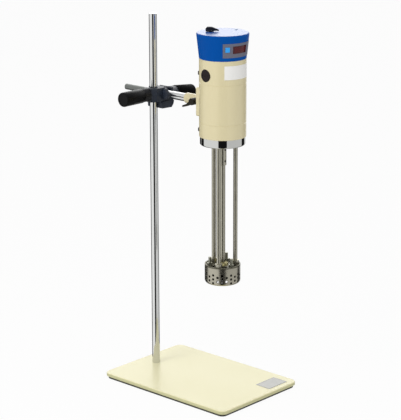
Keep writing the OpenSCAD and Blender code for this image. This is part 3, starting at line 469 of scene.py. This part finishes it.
@dataclass(frozen=True)
class Laminated(Finish):
    """Stacked sheet iron, one sheet on the next."""

    sheet: float = 0.001
    rust: Triple = linear(120, 84, 60)
    gap: Triple = linear(38, 38, 38)

    def surface(self, graph: Graph) -> dict:
        """The joints between sheets and a little rust."""
        z = graph.axes()[2]
        joint = (z * (1 / self.sheet)).fraction().ramp(0.75, 1)
        patches = graph.noise(graph.place(), 90, 4).ramp(0.55, 0.8)
        aged = graph.blend(self.colour, self.rust, patches * 0.35)
        return {"Base Color": graph.blend(aged, self.gap, joint * 0.6),
                "Normal": graph.bump(1 - joint, 0.00008, 0.6)}


@dataclass(frozen=True)
class Board(Finish):
    """Lacquered circuit board with tracks."""

    pitch: float = 0.002
    copper: Triple = linear(96, 150, 92)

    def surface(self, graph: Graph) -> dict:
        """Tracks at right angles under green lacquer."""
        x, y, _ = graph.axes()
        patch = graph.noise(graph.place((1, 1, 0)), 60, 1).ramp(0.49, 0.51)
        along = (x * (1 / self.pitch)).fraction().ramp(0.6, 0.7)
        across = (y * (1 / self.pitch)).fraction().ramp(0.6, 0.7)
        track = along * patch + across * (1 - patch)
        return {"Base Color": graph.blend(self.colour, self.copper, track * 0.7),
                "Normal": graph.bump(track, 0.00004, 0.5)}


@dataclass(frozen=True)
class Tinted(Finish):
    """Dark tinted window with faint rows behind it."""

    pitch: float = 0.0004
    pale: Triple = linear(100, 34, 38)

    def surface(self, graph: Graph) -> dict:
        """Fine rows and a slight haze."""
        rows = (graph.axes()[2] * (1 / self.pitch)).fraction().ramp(0.3, 0.7)
        haze = graph.noise(graph.place(), 60, 2)
        return {"Base Color": graph.blend(self.colour, self.pale, rows * 0.12 + haze * 0.25)}


class Palette(Enum):
    """Every finish on the object."""

    CREAM = Enamel("cream_enamel", linear(218, 207, 167), 0.34, coat=0.25, coat_roughness=0.16,
                   shade=linear(196, 184, 142))
    BASE_CREAM = Deck("base_enamel", linear(237, 231, 188), 0.42, coat=0.1, shade=linear(220, 213, 166),
                      peel=0.00003)
    BLUE = Shell("blue_shell", linear(0, 76, 158), 0.42, specular=0.05, coat_roughness=0.32,
                 worn=linear(0, 88, 174), wear=0.1, depth=0.000004)
    PANEL = Moulded("panel_film", linear(104, 106, 122), 0.45, specular=0.3,
                    worn=linear(130, 130, 142), wear=0.2)
    DISPLAY = Tinted("display_lens", linear(60, 14, 19), 0.12, specular=0.35)
    DIGIT = Moulded("display_segments", linear(112, 32, 36), 0.4, specular=0.2, wear=0.0)
    KEY = Moulded("key_plastic", linear(44, 160, 240), 0.3, coat=0.1, worn=linear(120, 200, 246), wear=0.1)
    KNOB = Moulded("knob_phenolic", linear(7, 7, 8), 0.38, specular=0.12, worn=linear(24, 24, 26), wear=0.2)
    # painted shade: a darker, rougher copy of the knob plastic for the knob that faces away from the key
    # light
    KNOB_MATT = Moulded("knob_phenolic_matt_shaded", linear(3, 3, 4), 0.6, specular=0.05,
                        worn=linear(16, 16, 18), wear=0.2)
    DIAL = Moulded("dial_plastic", linear(15, 19, 31), 0.42, specular=0.16, worn=linear(38, 44, 58), wear=0.2)
    POINTER = Moulded("pointer_paint", linear(150, 152, 156), 0.5, specular=0.3,
                      worn=linear(110, 112, 116), wear=0.2)
    BRUSH_CAP = Moulded("brush_cap_plastic", linear(28, 20, 22), 0.5, specular=0.2,
                        worn=linear(56, 46, 48), wear=0.25)
    RUBBER = Moulded("mat_rubber", linear(18, 18, 16), 0.85, specular=0.2, worn=linear(46, 46, 42), wear=0.3,
                     depth=0.00006, grain_scale=500)
    PLUG = Moulded("plug_plastic", linear(178, 192, 206), 0.5, specular=0.3,
                   worn=linear(150, 164, 180), wear=0.2)
    GLAND = Moulded("gland_rubber", linear(26, 26, 28), 0.7, specular=0.25, worn=linear(50, 50, 52), wear=0.2)
    LEVER = Moulded("lever_coating", linear(24, 20, 11), 0.42, specular=0.2,
                    worn=linear(76, 66, 36), wear=0.4)
    CASTING = Casting("boss_casting", linear(32, 38, 50), 0.42, specular=0.3, edge=linear(56, 66, 84))
    LABEL = Moulded("label_film", linear(238, 237, 234), 0.38, specular=0.35,
                    worn=linear(222, 220, 214), wear=0.25, depth=0.000003)
    SILVER = Plate("label_foil", linear(158, 158, 155), 0.5, grain=Grain.ALONG_Y, lines=1400, contrast=0.4,
                   tint=linear(140, 140, 138))
    COLUMN = Metal("column_chrome", linear(222, 223, 222), 0.09, grain=Grain.ALONG_Z, lines=1200,
                   contrast=0.16, tint=linear(150, 148, 142))
    ARM = Spigot("arm_chrome", linear(214, 215, 214), 0.14, grain=Grain.ALONG_X, lines=1200, contrast=0.2,
                 tint=linear(140, 139, 134))
    RING = Metal("ring_chrome", linear(207, 208, 205), 0.04, grain=Grain.TURNED, lines=1500, contrast=0.12,
                 tint=linear(150, 150, 150))
    ROD = Metal("rod_stainless", linear(178, 175, 160), 0.31, grain=Grain.ALONG_Z, lines=1100, contrast=0.28,
                tint=linear(112, 107, 92))
    HEAD = Cage("head_stainless", linear(180, 176, 161), 0.27, grain=Grain.TURNED, lines=1600, contrast=0.35,
                tint=linear(104, 100, 86), depth=0.000002)
    STUD = Metal("stud_stainless", linear(156, 156, 142), 0.42, contrast=0.4, tint=linear(100, 98, 84))
    SCREW = Metal("screw_steel", linear(120, 119, 116), 0.36, contrast=0.5, tint=linear(60, 58, 54))
    DARK_SCREW = Metal("blackened_steel", linear(52, 50, 48), 0.45, contrast=0.5, tint=linear(24, 22, 20))
    BEARING = Metal("bearing_steel", linear(190, 191, 193), 0.15, grain=Grain.TURNED, contrast=0.3)
    BRASS = Metal("brass", linear(184, 176, 128), 0.32, grain=Grain.TURNED, contrast=0.45,
                  tint=linear(128, 116, 76))
    COMMUTATOR = Metal("commutator_copper", linear(196, 124, 78), 0.28, grain=Grain.TURNED, contrast=0.6,
                       tint=linear(90, 46, 26))
    CARBON = Moulded("carbon", linear(34, 34, 35), 0.6, worn=linear(78, 78, 80), wear=0.4, depth=0.00003)
    WIRE = Wound("varnished_wire", linear(176, 92, 44), 0.3, 0.4)
    IRON = Laminated("laminated_iron", linear(112, 112, 114), 0.5, 0.6)
    FAN = Moulded("fan_plastic", linear(214, 210, 196), 0.45, worn=linear(180, 176, 160), wear=0.2)
    BOARD = Board("board_lacquer", linear(28, 92, 50), 0.3, coat=0.4)
    ELECTRONICS = Moulded("component_plastic", linear(40, 40, 42), 0.5)


NODE_FINISHES: dict[str, Palette] = {
    "base_plate": Palette.BASE_CREAM, "base_mat": Palette.RUBBER, "base_label": Palette.SILVER,
    "column": Palette.COLUMN, "column_bolt": Palette.SCREW, "boss_head": Palette.CASTING,
    "column_screw": Palette.SCREW, "column_knob": Palette.KNOB, "arm_screw": Palette.SCREW,
    "arm_knob": Palette.KNOB_MATT, "support_arm": Palette.ARM, "bracket": Palette.CREAM,
    "bracket_screws": Palette.SCREW, "lever_screw": Palette.SCREW, "clamp_lever": Palette.LEVER,
    "lower_cover": Palette.CREAM, "field_housing": Palette.CREAM, "upper_cover": Palette.CREAM,
    "cover_screws": Palette.DARK_SCREW, "body_label": Palette.LABEL, "end_flange": Palette.RING,
    "flange_screws": Palette.SCREW, "brush_caps": Palette.BRUSH_CAP, "brush_holders": Palette.BRASS,
    "carbon_brushes": Palette.CARBON, "brush_springs": Palette.BRASS, "field_core": Palette.IRON,
    "field_windings": Palette.WIRE, "armature_core": Palette.IRON, "armature_windings": Palette.WIRE,
    "commutator": Palette.COMMUTATOR, "motor_shaft": Palette.ROD, "cooling_fan": Palette.FAN,
    "upper_bearing": Palette.BEARING, "lower_bearing": Palette.BEARING, "control_cap": Palette.BLUE,
    "cap_screws": Palette.DARK_SCREW, "top_plug": Palette.PLUG, "cord_inlet": Palette.GLAND,
    "control_panel": Palette.PANEL, "display_window": Palette.DISPLAY, "display_module": Palette.ELECTRONICS,
    "power_key": Palette.KEY, "key_switch": Palette.ELECTRONICS, "speed_knob": Palette.DIAL,
    "potentiometer": Palette.ELECTRONICS, "circuit_board": Palette.BOARD, "coupling": Palette.ROD,
    "coupling_screws": Palette.DARK_SCREW, "drive_shaft": Palette.ROD, "support_rods": Palette.ROD,
    "rod_screws": Palette.SCREW, "head_plate": Palette.HEAD, "head_studs": Palette.STUD,
    "stud_nuts": Palette.STUD, "shaft_bush": Palette.BRASS, "stator_cage": Palette.HEAD,
    "rotor": Palette.HEAD, "rotor_nut": Palette.SCREW,
}


def dress(piece: bpy.types.Object, finish: Palette) -> None:
    """Gives a piece one finish all over."""
    piece.data.materials.clear()
    piece.data.materials.append(finish.value.material())


# --------------------------------------------------------------------------- modelling


class Workbench:
    """Modelling steps that the sub-assemblies share."""

    MERGE: float = 0.000004
    FLAT: float = math.radians(0.6)

    @staticmethod
    def only(piece: bpy.types.Object) -> bpy.types.Object:
        """Makes a piece the only selected and active one."""
        if bpy.context.object and bpy.context.object.mode != "OBJECT":
            bpy.ops.object.mode_set(mode="OBJECT")
        bpy.ops.object.select_all(action="DESELECT")
        piece.select_set(True)
        bpy.context.view_layer.objects.active = piece
        return piece

    @staticmethod
    @contextmanager
    def editing(mode: str = "VERT") -> Iterator[None]:
        """Edit mode on the active piece, with nothing selected at the start."""
        bpy.ops.object.mode_set(mode="EDIT")
        bpy.ops.mesh.select_mode(type=mode)
        bpy.ops.mesh.select_all(action="DESELECT")
        yield
        bpy.ops.object.mode_set(mode="OBJECT")

    @staticmethod
    def pick(test: Callable[[Vector, Vector], bool]) -> None:
        """Selects, in face mode, the faces whose middle and normal pass a test."""
        mesh = bmesh.from_edit_mesh(bpy.context.object.data)
        for face in mesh.faces:
            face.select_set(test(face.calc_center_median(), face.normal))
        mesh.select_flush_mode()
        bmesh.update_edit_mesh(bpy.context.object.data)

    @staticmethod
    def pick_edges(test: Callable[[Vector, Vector], bool]) -> None:
        """Selects, in edge mode, the edges whose two ends pass a test."""
        mesh = bmesh.from_edit_mesh(bpy.context.object.data)
        for edge in mesh.edges:
            edge.select_set(test(edge.verts[0].co, edge.verts[1].co))
        bmesh.update_edit_mesh(bpy.context.object.data)

    @classmethod
    def primitive(cls, make: Callable[..., set], name: str, **sizes: object) -> bpy.types.Object:
        """Adds a primitive by its operator and names it."""
        if bpy.context.object and bpy.context.object.mode != "OBJECT":
            bpy.ops.object.mode_set(mode="OBJECT")
        bpy.ops.object.select_all(action="DESELECT")
        make(**sizes)
        bpy.context.object.name = bpy.context.object.data.name = name
        return bpy.context.object

    @classmethod
    def lathe(cls, name: str, profile: Sequence[Span], segments: int = 72) -> bpy.types.Object:
        """Turns a closed solid from a profile.

        Args:
            name: Name of the piece.
            profile: Radius and height of each ring, in mm, from one end face to the other.
            segments: Number of sides.

        Returns:
            The solid, standing on the origin along Z.
        """
        radius, height = profile[0]
        piece = cls.primitive(bpy.ops.mesh.primitive_circle_add, name, vertices=segments, radius=radius * MM,
                              fill_type="NGON", location=(0, 0, height * MM))
        cls.settle(piece)
        with cls.editing():
            bpy.ops.mesh.select_all(action="SELECT")
            for wide, high in profile[1:]:
                rise = (0, 0, (high - height) * MM)
                bpy.ops.mesh.extrude_region_move(TRANSFORM_OT_translate={"value": rise})
                share = wide / radius
                bpy.ops.transform.resize(value=(share, share, 1), center_override=(0, 0, high * MM))
                radius, height = wide, high
            bpy.ops.mesh.select_all(action="SELECT")
            bpy.ops.mesh.normals_make_consistent(inside=False)
        return piece

    @classmethod
    def merged_copy(cls, node: str, name: str) -> bpy.types.Object:
        """A copy of a node's mesh with its doubles merged and its flat faces joined."""
        piece = bpy.data.objects.new(name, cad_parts[node].data.copy())
        piece.data.name = name
        bpy.context.scene.collection.objects.link(piece)
        cls.only(piece)
        bpy.ops.mesh.customdata_custom_splitnormals_clear()
        with cls.editing():
            bpy.ops.mesh.select_all(action="SELECT")
            bpy.ops.mesh.remove_doubles(threshold=cls.MERGE)
            bpy.ops.mesh.dissolve_limited(angle_limit=cls.FLAT, delimit={"NORMAL"})
        return piece

    @classmethod
    def eased(cls, node: str, name: str, width: float, steps: int = 2, angle: float = 40) -> bpy.types.Object:
        """A copy of a node whose sharp edges are rounded by a width in mm."""
        piece = cls.merged_copy(node, name)
        cls.modify(piece, "BEVEL", width=width * MM, segments=steps, limit_method="ANGLE",
                   angle_limit=math.radians(angle), use_clamp_overlap=True)
        cls.smooth(piece)
        return piece

    @classmethod
    def cast(cls, node: str, name: str, cell: float, passes: int, keep: float) -> bpy.types.Object:
        """A copy of a node with the soft edges of a casting.

        Args:
            node: The node that is copied.
            name: Name of the piece.
            cell: Size of the cells that the skin is made of, in mm.
            passes: How often the skin is smoothed.
            keep: Share of the faces that is kept.

        Returns:
            The new piece.
        """
        piece = cls.merged_copy(node, name)
        cls.modify(piece, "REMESH", mode="VOXEL", voxel_size=cell * MM, use_smooth_shade=True)
        cls.modify(piece, "SMOOTH", factor=0.5, iterations=passes)
        cls.modify(piece, "DECIMATE", ratio=keep)
        cls.smooth(piece, 50)
        return piece

    @classmethod
    def modify(cls, piece: bpy.types.Object, kind: str, **settings: object) -> None:
        """Adds a modifier and applies it."""
        cls.only(piece)
        modifier = piece.modifiers.new(kind.lower(), kind)
        for key, value in settings.items():
            setattr(modifier, key, value)
        bpy.ops.object.modifier_apply(modifier=modifier.name)

    @classmethod
    def smooth(cls, piece: bpy.types.Object, angle: float = 35) -> None:
        """Smooth shading with sharp edges above an angle."""
        cls.only(piece)
        bpy.ops.object.shade_smooth_by_angle(angle=math.radians(angle))

    @classmethod
    def settle(cls, piece: bpy.types.Object, place: Matrix | None = None) -> None:
        """Moves the object's place, and one more if it is given, into its mesh."""
        piece.data.transform((place or Matrix()) @ piece.matrix_basis)
        piece.matrix_basis = Matrix()
        piece.data.update()

    @classmethod
    def join(cls, name: str, pieces: Sequence[bpy.types.Object]) -> bpy.types.Object:
        """Joins pieces into the first one."""
        cls.only(pieces[0])
        for piece in pieces[1:]:
            piece.select_set(True)
        bpy.ops.object.join()
        pieces[0].name = pieces[0].data.name = name
        return pieces[0]


def pointing(place: Triple, direction: Triple) -> Matrix:
    """The matrix that brings Z onto a direction, from a place in mm."""
    turn = Vector(direction).to_track_quat("Z", "Y").to_matrix().to_4x4()
    return Matrix.Translation(Vector(place) * MM) @ turn


def out_of_motor(angle: float, height: float) -> Matrix:
    """The matrix that brings X onto a direction out of the motor's axis, at a height in mm."""
    place = Matrix.Translation((MOTOR_AXIS[0], MOTOR_AXIS[1], height * MM))
    return place @ Matrix.Rotation(math.radians(angle), 4, "Z")


# --------------------------------------------------------------------------- sub-assemblies


class Assembly:
    """What every sub-assembly has: the pieces that it made."""

    def build(self) -> list[bpy.types.Object]:
        """Makes the pieces."""
        return []

    @staticmethod
    def fit(piece: bpy.types.Object, finish: Palette, body: str, slot: str,
            instead_of: str | None = None) -> bpy.types.Object:
        """Dresses a piece and says where it belongs.

        Args:
            piece: The finished piece.
            finish: Its finish.
            body: The body that it rides on.
            slot: Its material slot in the record; not used.
            instead_of: The node that it replaces, if any.

        Returns:
            The same piece.
        """
        dress(piece, finish)
        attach(piece, body)
        if instead_of:
            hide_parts(instead_of)
        return piece


@dataclass
class BossHead(Assembly):
    """The double clamp with its two knobs."""

    knob_radius: float = 14.5
    knob_length: float = 52.0
    knob_start: float = 35.8
    bore_radius: float = 4.05
    bore_depth: float = 31.2
    rim: float = 2.6
    dish: float = 0.9
    droop: float = math.radians(6)
    column_screw_z: float = 587.5
    arm_screw_z: float = 584.0
    edge_ease: float = 0.8

    def profile(self) -> list[Span]:
        """Rings of one knob, from the end of its bore round the outside to its dished end."""
        radius, length, rim = self.knob_radius, self.knob_length, self.rim
        return [(self.bore_radius, self.bore_depth), (self.bore_radius, 0.0), (radius - 1.5, 0.0),
                (radius - 0.5, 0.3), (radius, 1.2), (radius, length - 1.8), (radius - 0.25, length - 0.9),
                (radius - 0.8, length - 0.3), (radius - 1.6, length), (radius - rim, length - 0.1),
                (radius - rim - 0.5, length - self.dish), (1.2, length - self.dish - 0.3)]

    def knob(self, name: str, place: Triple, direction: Triple) -> bpy.types.Object:
        """One turned knob on its screw's axis."""
        piece = Workbench.lathe(name, self.profile())
        Workbench.settle(piece, pointing(place, direction) @ Matrix.Translation((0, 0, self.knob_start * MM)))
        Workbench.smooth(piece, 50)
        return piece

    def build(self) -> list[bpy.types.Object]:
        """The casting and both knobs."""
        casting = Workbench.eased("boss_head", "boss_casting", self.edge_ease, 2, 25)
        front = self.knob("column_knob_grip", (COLUMN_X, 0.0, self.column_screw_z), (0, -1, 0))
        back = self.knob("arm_knob_grip", (COLUMN_X, ARM_Y, self.arm_screw_z),
                         (0, math.cos(self.droop), -math.sin(self.droop)))
        return [self.fit(casting, Palette.CASTING, "boss", "casting_dark", "boss_head"),
                self.fit(front, Palette.KNOB, "column_clamp_knob", "knob_black", "column_knob"),
                # the back knob gets the painted-shade copy of the knob plastic
                self.fit(back, Palette.KNOB_MATT, "arm_clamp_knob", "knob_black", "arm_knob")]


@dataclass
class Bracket(Assembly):
    """The cast saddle and the clamp lever."""

    saddle_cell: float = 0.6
    saddle_passes: int = 4
    lever_cell: float = 0.32
    lever_passes: int = 5
    kept: float = 0.35

    def build(self) -> list[bpy.types.Object]:
        """Saddle with socket, and the lever."""
        saddle = Workbench.cast("bracket", "saddle_casting", self.saddle_cell, self.saddle_passes, self.kept)
        lever = Workbench.cast("clamp_lever", "lever_grip", self.lever_cell, self.lever_passes, self.kept)
        return [self.fit(saddle, Palette.CREAM, "mixer", "cream_paint", "bracket"),
                self.fit(lever, Palette.LEVER, "lever", "knob_black", "clamp_lever")]


@dataclass
class MotorTrim(Assembly):
    """Brush caps with a rounded rim."""

    rim_ease: float = 0.5

    def build(self) -> list[bpy.types.Object]:
        """Both caps as one piece, like the node."""
        caps = Workbench.eased("brush_caps", "brush_cap_discs", self.rim_ease, 3)
        return [self.fit(caps, Palette.BRUSH_CAP, "mixer", "brush_plastic", "brush_caps")]


@dataclass
class ControlHead(Assembly):
    """Power key, speed knob and the digits of the display."""

    key_angle: float = -37.5
    key_height: float = 700.3
    key_back: float = 43.66
    key_face: float = 50.46
    key_size: Span = (8.6, 9.7)
    key_rim: float = 0.9
    key_step: float = 0.8
    key_dish: float = 0.35
    key_flange: float = 1.2
    key_lip: float = 2.4
    key_ease: float = 0.3
    dial_place: Triple = (15.436, 14.012, 728.0)
    pointer_azimuth: float = math.radians(35)
    dial_ease: float = 0.6
    dial_height: float = 8.0
    wing_start: float = 3.5
    wing_reach: float = 17.5
    wing_tip: float = 2.8
    line_size: Triple = (9.0, 0.9, 0.3)
    line_middle: float = 7.5
    cone_foot: float = 677.0
    cone_radius: float = 46.5
    cone_slope: float = 0.11
    display_middle: float = 699.3
    lens_skin: float = 0.9
    digit_size: Span = (4.3, 8.2)
    digit_pitch: float = 6.9
    digit_count: int = 4
    stroke: float = 0.85
    stroke_depth: float = 0.12
    stroke_gap: float = 0.9
    stroke_taper: float = 0.42

    def build(self) -> list[bpy.types.Object]:
        """All three."""
        return [self.key(), self.dial(), self.pointer_line(), self.digits()]

    def cone(self, height: float) -> float:
        """Radius of the cap's skin at a height, in mm."""
        return self.cone_radius + self.cone_slope * (height - self.cone_foot)

    def key(self) -> bpy.types.Object:
        """A square key with a dished face and a flange behind the skin."""
        wide, high = self.key_size
        step = self.key_back + self.key_flange
        depth = self.key_face - step
        piece = Workbench.primitive(bpy.ops.mesh.primitive_cube_add, "power_key_cap", size=MM,
                                    location=((step + depth / 2) * MM, 0, 0), scale=(depth, wide, high))
        Workbench.settle(piece)
        with Workbench.editing("FACE"):
            Workbench.pick(lambda middle, normal: normal.x > 0.9)
            bpy.ops.mesh.inset(thickness=self.key_rim * MM)
            bpy.ops.mesh.inset(thickness=self.key_step * MM, depth=-self.key_dish * MM)
            Workbench.pick(lambda middle, normal: normal.x < -0.9)
            bpy.ops.mesh.extrude_region_move(TRANSFORM_OT_translate={"value": (0, 0, 0)})
            bpy.ops.transform.resize(value=(1, (wide + self.key_lip) / wide, (high + self.key_lip) / high),
                                     center_override=(step * MM, 0, 0))
            bpy.ops.mesh.extrude_region_move(TRANSFORM_OT_translate={"value": (-self.key_flange * MM, 0, 0)})
            bpy.ops.mesh.select_all(action="SELECT")
            bpy.ops.mesh.normals_make_consistent(inside=False)
        Workbench.modify(piece, "BEVEL", width=self.key_ease * MM, segments=3, limit_method="ANGLE",
                         angle_limit=math.radians(50), use_clamp_overlap=True)
        Workbench.settle(piece, out_of_motor(self.key_angle, self.key_height))
        Workbench.smooth(piece, 40)
        return self.fit(piece, Palette.KEY, "key", "key_blue", "power_key")

    def dial(self) -> bpy.types.Object:
        """The winged knob with rounded edges."""
        piece = Workbench.eased("speed_knob", "speed_knob_wing", self.dial_ease, 3, 30)
        return self.fit(piece, Palette.DIAL, "dial", "knob_black", "speed_knob")

    def pointer_line(self) -> bpy.types.Object:
        """The pale line along the top of the wing."""
        piece = Workbench.primitive(bpy.ops.mesh.primitive_cube_add, "speed_knob_line", size=MM,
                                    location=(0, 0, 0), scale=self.line_size)
        Workbench.settle(piece)
        with Workbench.editing("FACE"):
            Workbench.pick(lambda middle, normal: normal.z > 0.9)
            bpy.ops.mesh.inset(thickness=self.line_size[2] / 2 * MM)
        slope = math.atan2(self.dial_height - self.wing_tip, self.wing_reach - self.wing_start)
        place = Matrix.Translation(Vector(self.dial_place) * MM)
        place = place @ Matrix.Rotation(self.pointer_azimuth, 4, "Z")
        top = Matrix.Translation(Vector((self.wing_start, 0, self.dial_height)) * MM)
        along = Matrix.Rotation(slope, 4, "Y") @ Matrix.Translation(Vector((self.line_middle, 0, 0)) * MM)
        Workbench.settle(piece, place @ top @ along)
        return self.fit(piece, Palette.POINTER, "dial", "knob_black")

    def bar(self, middle: Span, length: float, upright: bool) -> bpy.types.Object:
        """One segment of a digit, drawn flat: X along the skin, Y up, Z out."""
        piece = Workbench.primitive(bpy.ops.mesh.primitive_cube_add, "bar", size=MM, location=(0, 0, 0),
                                    scale=(length, self.stroke, self.stroke_depth))
        Workbench.settle(piece)
        with Workbench.editing("EDGE"):
            Workbench.pick_edges(lambda a, b: abs(a.z - b.z) > self.stroke_depth / 2 * MM)
            bpy.ops.mesh.bevel(offset=self.stroke * self.stroke_taper * MM, segments=1)
        turn = Matrix.Rotation(math.pi / 2, 4, "Z") if upright else Matrix()
        Workbench.settle(piece, Matrix.Translation((middle[0] * MM, middle[1] * MM, 0)) @ turn)
        return piece

    def digits(self) -> bpy.types.Object:
        """Four unlit digits that lie on the curved lens."""
        wide, high = self.digit_size
        half = high / 2
        bars = []
        for number in range(self.digit_count):
            x = (number - (self.digit_count - 1) / 2) * self.digit_pitch
            for level in (-half, 0, half):
                bars.append(self.bar((x, level), wide - self.stroke_gap, False))
            for side in (-wide / 2, wide / 2):
                for level in (-half / 2, half / 2):
                    bars.append(self.bar((x + side, level), half - self.stroke_gap, True))
        piece = Workbench.join("display_digits", bars)
        for vertex in piece.data.vertices:
            along, up, out = (value / MM for value in vertex.co)
            height = self.display_middle + up
            radius = (self.cone(height) + self.lens_skin + self.stroke_depth / 2 + out) * MM
            angle = MOTOR_TURN + along / (self.cone(self.display_middle) + self.lens_skin)
            vertex.co = (MOTOR_AXIS[0] + radius * math.cos(angle), MOTOR_AXIS[1] + radius * math.sin(angle),
                         height * MM)
        piece.data.update()
        Workbench.only(piece)
        with Workbench.editing():
            bpy.ops.mesh.select_all(action="SELECT")
            bpy.ops.mesh.normals_make_consistent(inside=False)
        return self.fit(piece, Palette.DIGIT, "mixer", "display_red")


# --------------------------------------------------------------------------- studio


@dataclass
class Studio:
    """Floor, light and camera."""

    camera_place: Triple = (2.2438, -2.45375, 1.29367)
    camera_yaw: float = math.radians(42.4146)
    camera_pitch: float = math.radians(15.5755)
    camera_roll: float = math.radians(-0.148)
    lens: float = 148.03
    sensor: float = 36.0
    floor_half: float = 6.0
    floor_white: float = 0.93
    floor_grey: Triple = (0.9, 0.9, 0.9)
    ambient: float = 0.62
    aim: Triple = (0.0, 0.0, 0.4)
    lamp_size: float = 1.6
    key_place: Triple = (-0.3, -2.6, 2.0)
    key_power: float = 34.0
    fill_place: Triple = (2.8, -0.4, 1.6)
    fill_power: float = 12.0
    front_turn: float = 1.0
    front_end: Span = (20, 24)
    edge_start: Span = (109, 113)
    edge_end: Span = (139, 143)
    flag_top: Span = (0.02, 0.16)
    flag_share: float = 0.99
    wall_turn: Span = (120, 150)
    wall_foot: Span = (0.05, 0.12)
    wall_top: Span = (0.5, 0.7)
    wall_gain: float = 1.9
    right_turn: Span = (15, 30)
    right_share: float = 0.25

    def build(self) -> None:
        """Makes everything round the object."""
        self.view_settings()
        self.camera()
        self.floor()
        self.world()
        self.lamps()

    def view_settings(self) -> None:
        """Plain colour handling."""
        bpy.context.scene.view_settings.view_transform = "Standard"

    def camera(self) -> None:
        """The camera at its fitted place."""
        data = bpy.data.cameras.new("studio_camera")
        data.lens, data.sensor_width, data.clip_end = self.lens, self.sensor, 50.0
        camera = bpy.data.objects.new("studio_camera", data)
        bpy.context.scene.collection.objects.link(camera)
        turn = (Matrix.Rotation(self.camera_yaw, 4, "Z")
                @ Matrix.Rotation(math.pi / 2 - self.camera_pitch, 4, "X")
                @ Matrix.Rotation(self.camera_roll, 4, "Z"))
        camera.matrix_world = Matrix.Translation(self.camera_place) @ turn
        bpy.context.scene.camera = camera

    def floor(self) -> None:
        """A plain pale floor that keeps a soft shadow."""
        bpy.ops.object.select_all(action="DESELECT")
        bpy.ops.mesh.primitive_plane_add(size=2 * self.floor_half, location=(0, 0, 0))
        floor = bpy.context.object
        floor.name = "floor"
        floor.visible_glossy = False
        made = bpy.data.materials.new("floor_paper")
        made.use_nodes = True
        graph = Graph(made.node_tree)
        plain = graph.node("ShaderNodeBsdfDiffuse", None, {"Color": (*self.floor_grey, 1)})
        white = graph.node("ShaderNodeEmission", None, {"Color": (1, 1, 1, 1), "Strength": 1.0})
        ray = graph.node("ShaderNodeLightPath")
        share = Signal(graph, ray.outputs["Is Camera Ray"]) * self.floor_white
        mixed = graph.node("ShaderNodeMixShader", None, {0: share, 1: plain.outputs[0], 2: white.outputs[0]})
        graph.node("ShaderNodeOutputMaterial", None, {"Surface": mixed.outputs[0]})
        floor.data.materials.append(made)

    def world(self) -> None:
        """White surroundings, with dark flags and a bright back wall that only gloss sees."""
        world = bpy.data.worlds.new("studio_world")
        bpy.context.scene.world = world
        world.use_nodes = True
        graph = Graph(world.node_tree)
        where = graph.node("ShaderNodeTexCoord")
        parts = graph.node("ShaderNodeSeparateXYZ", None, {0: where.outputs["Generated"]})
        x, y, z = (Signal(graph, parts.outputs[i]) for i in range(3))
        facing = self.camera_yaw - math.pi / 2
        ahead = x * math.cos(facing) + y * math.sin(facing)
        side = y * math.cos(facing) - x * math.sin(facing)
        turn = graph.maths("ARCTAN2", side, ahead) * (180 / math.pi)
        middle = 1 - abs(turn + self.front_turn).ramp(*self.front_end)
        edges = abs(turn).ramp(*self.edge_start) * (1 - turn.ramp(*self.edge_end))
        low = 1 - z.ramp(*self.flag_top)
        flags = (middle + edges) * low
        wall = abs(turn).ramp(*self.wall_turn) * z.ramp(*self.wall_foot) * (1 - z.ramp(*self.wall_top))
        right = turn.ramp(*self.right_turn) * self.right_share
        gloss = (1 - right) * (1 - flags * self.flag_share) + wall * self.wall_gain
        ray = graph.node("ShaderNodeLightPath")
        seen = graph.maths("MAXIMUM", Signal(graph, ray.outputs["Is Camera Ray"]),
                           Signal(graph, ray.outputs["Is Transmission Ray"]))
        shiny = Signal(graph, ray.outputs["Is Glossy Ray"])
        strength = seen + (1 - seen) * (shiny * gloss + (1 - shiny) * self.ambient)
        back = graph.node("ShaderNodeBackground", None, {"Color": (1, 1, 1, 1), "Strength": strength})
        graph.node("ShaderNodeOutputWorld", None, {"Surface": back.outputs[0]})

    def lamps(self) -> None:
        """One broad key from the left front and a weak fill."""
        self.lamp("key_light", self.key_place, self.key_power)
        self.lamp("fill_light", self.fill_place, self.fill_power)

    def lamp(self, name: str, place: Triple, power: float) -> None:
        """A square soft lamp that looks at the middle of the object."""
        data = bpy.data.lights.new(name, "AREA")
        data.shape, data.size, data.energy = "SQUARE", self.lamp_size, power
        lamp = bpy.data.objects.new(name, data)
        bpy.context.scene.collection.objects.link(lamp)
        aim = Vector(self.aim) - Vector(place)
        lamp.matrix_world = Matrix.Translation(place) @ aim.to_track_quat("-Z", "Y").to_matrix().to_4x4()
        lamp.visible_glossy = False


def main() -> None:
    """Builds everything in order."""
    logging.basicConfig(level=logging.INFO, format="%(message)s")
    Studio().build()
    for name, finish in NODE_FINISHES.items():
        dress(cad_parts[name], finish)
    for assembly in (BossHead(), Bracket(), MotorTrim(), ControlHead()):
        for piece in assembly.build():
            LOG.info("%s: %s, %d faces", type(assembly).__name__, piece.name, len(piece.data.polygons))


if __name__ == "__main__":
    main()
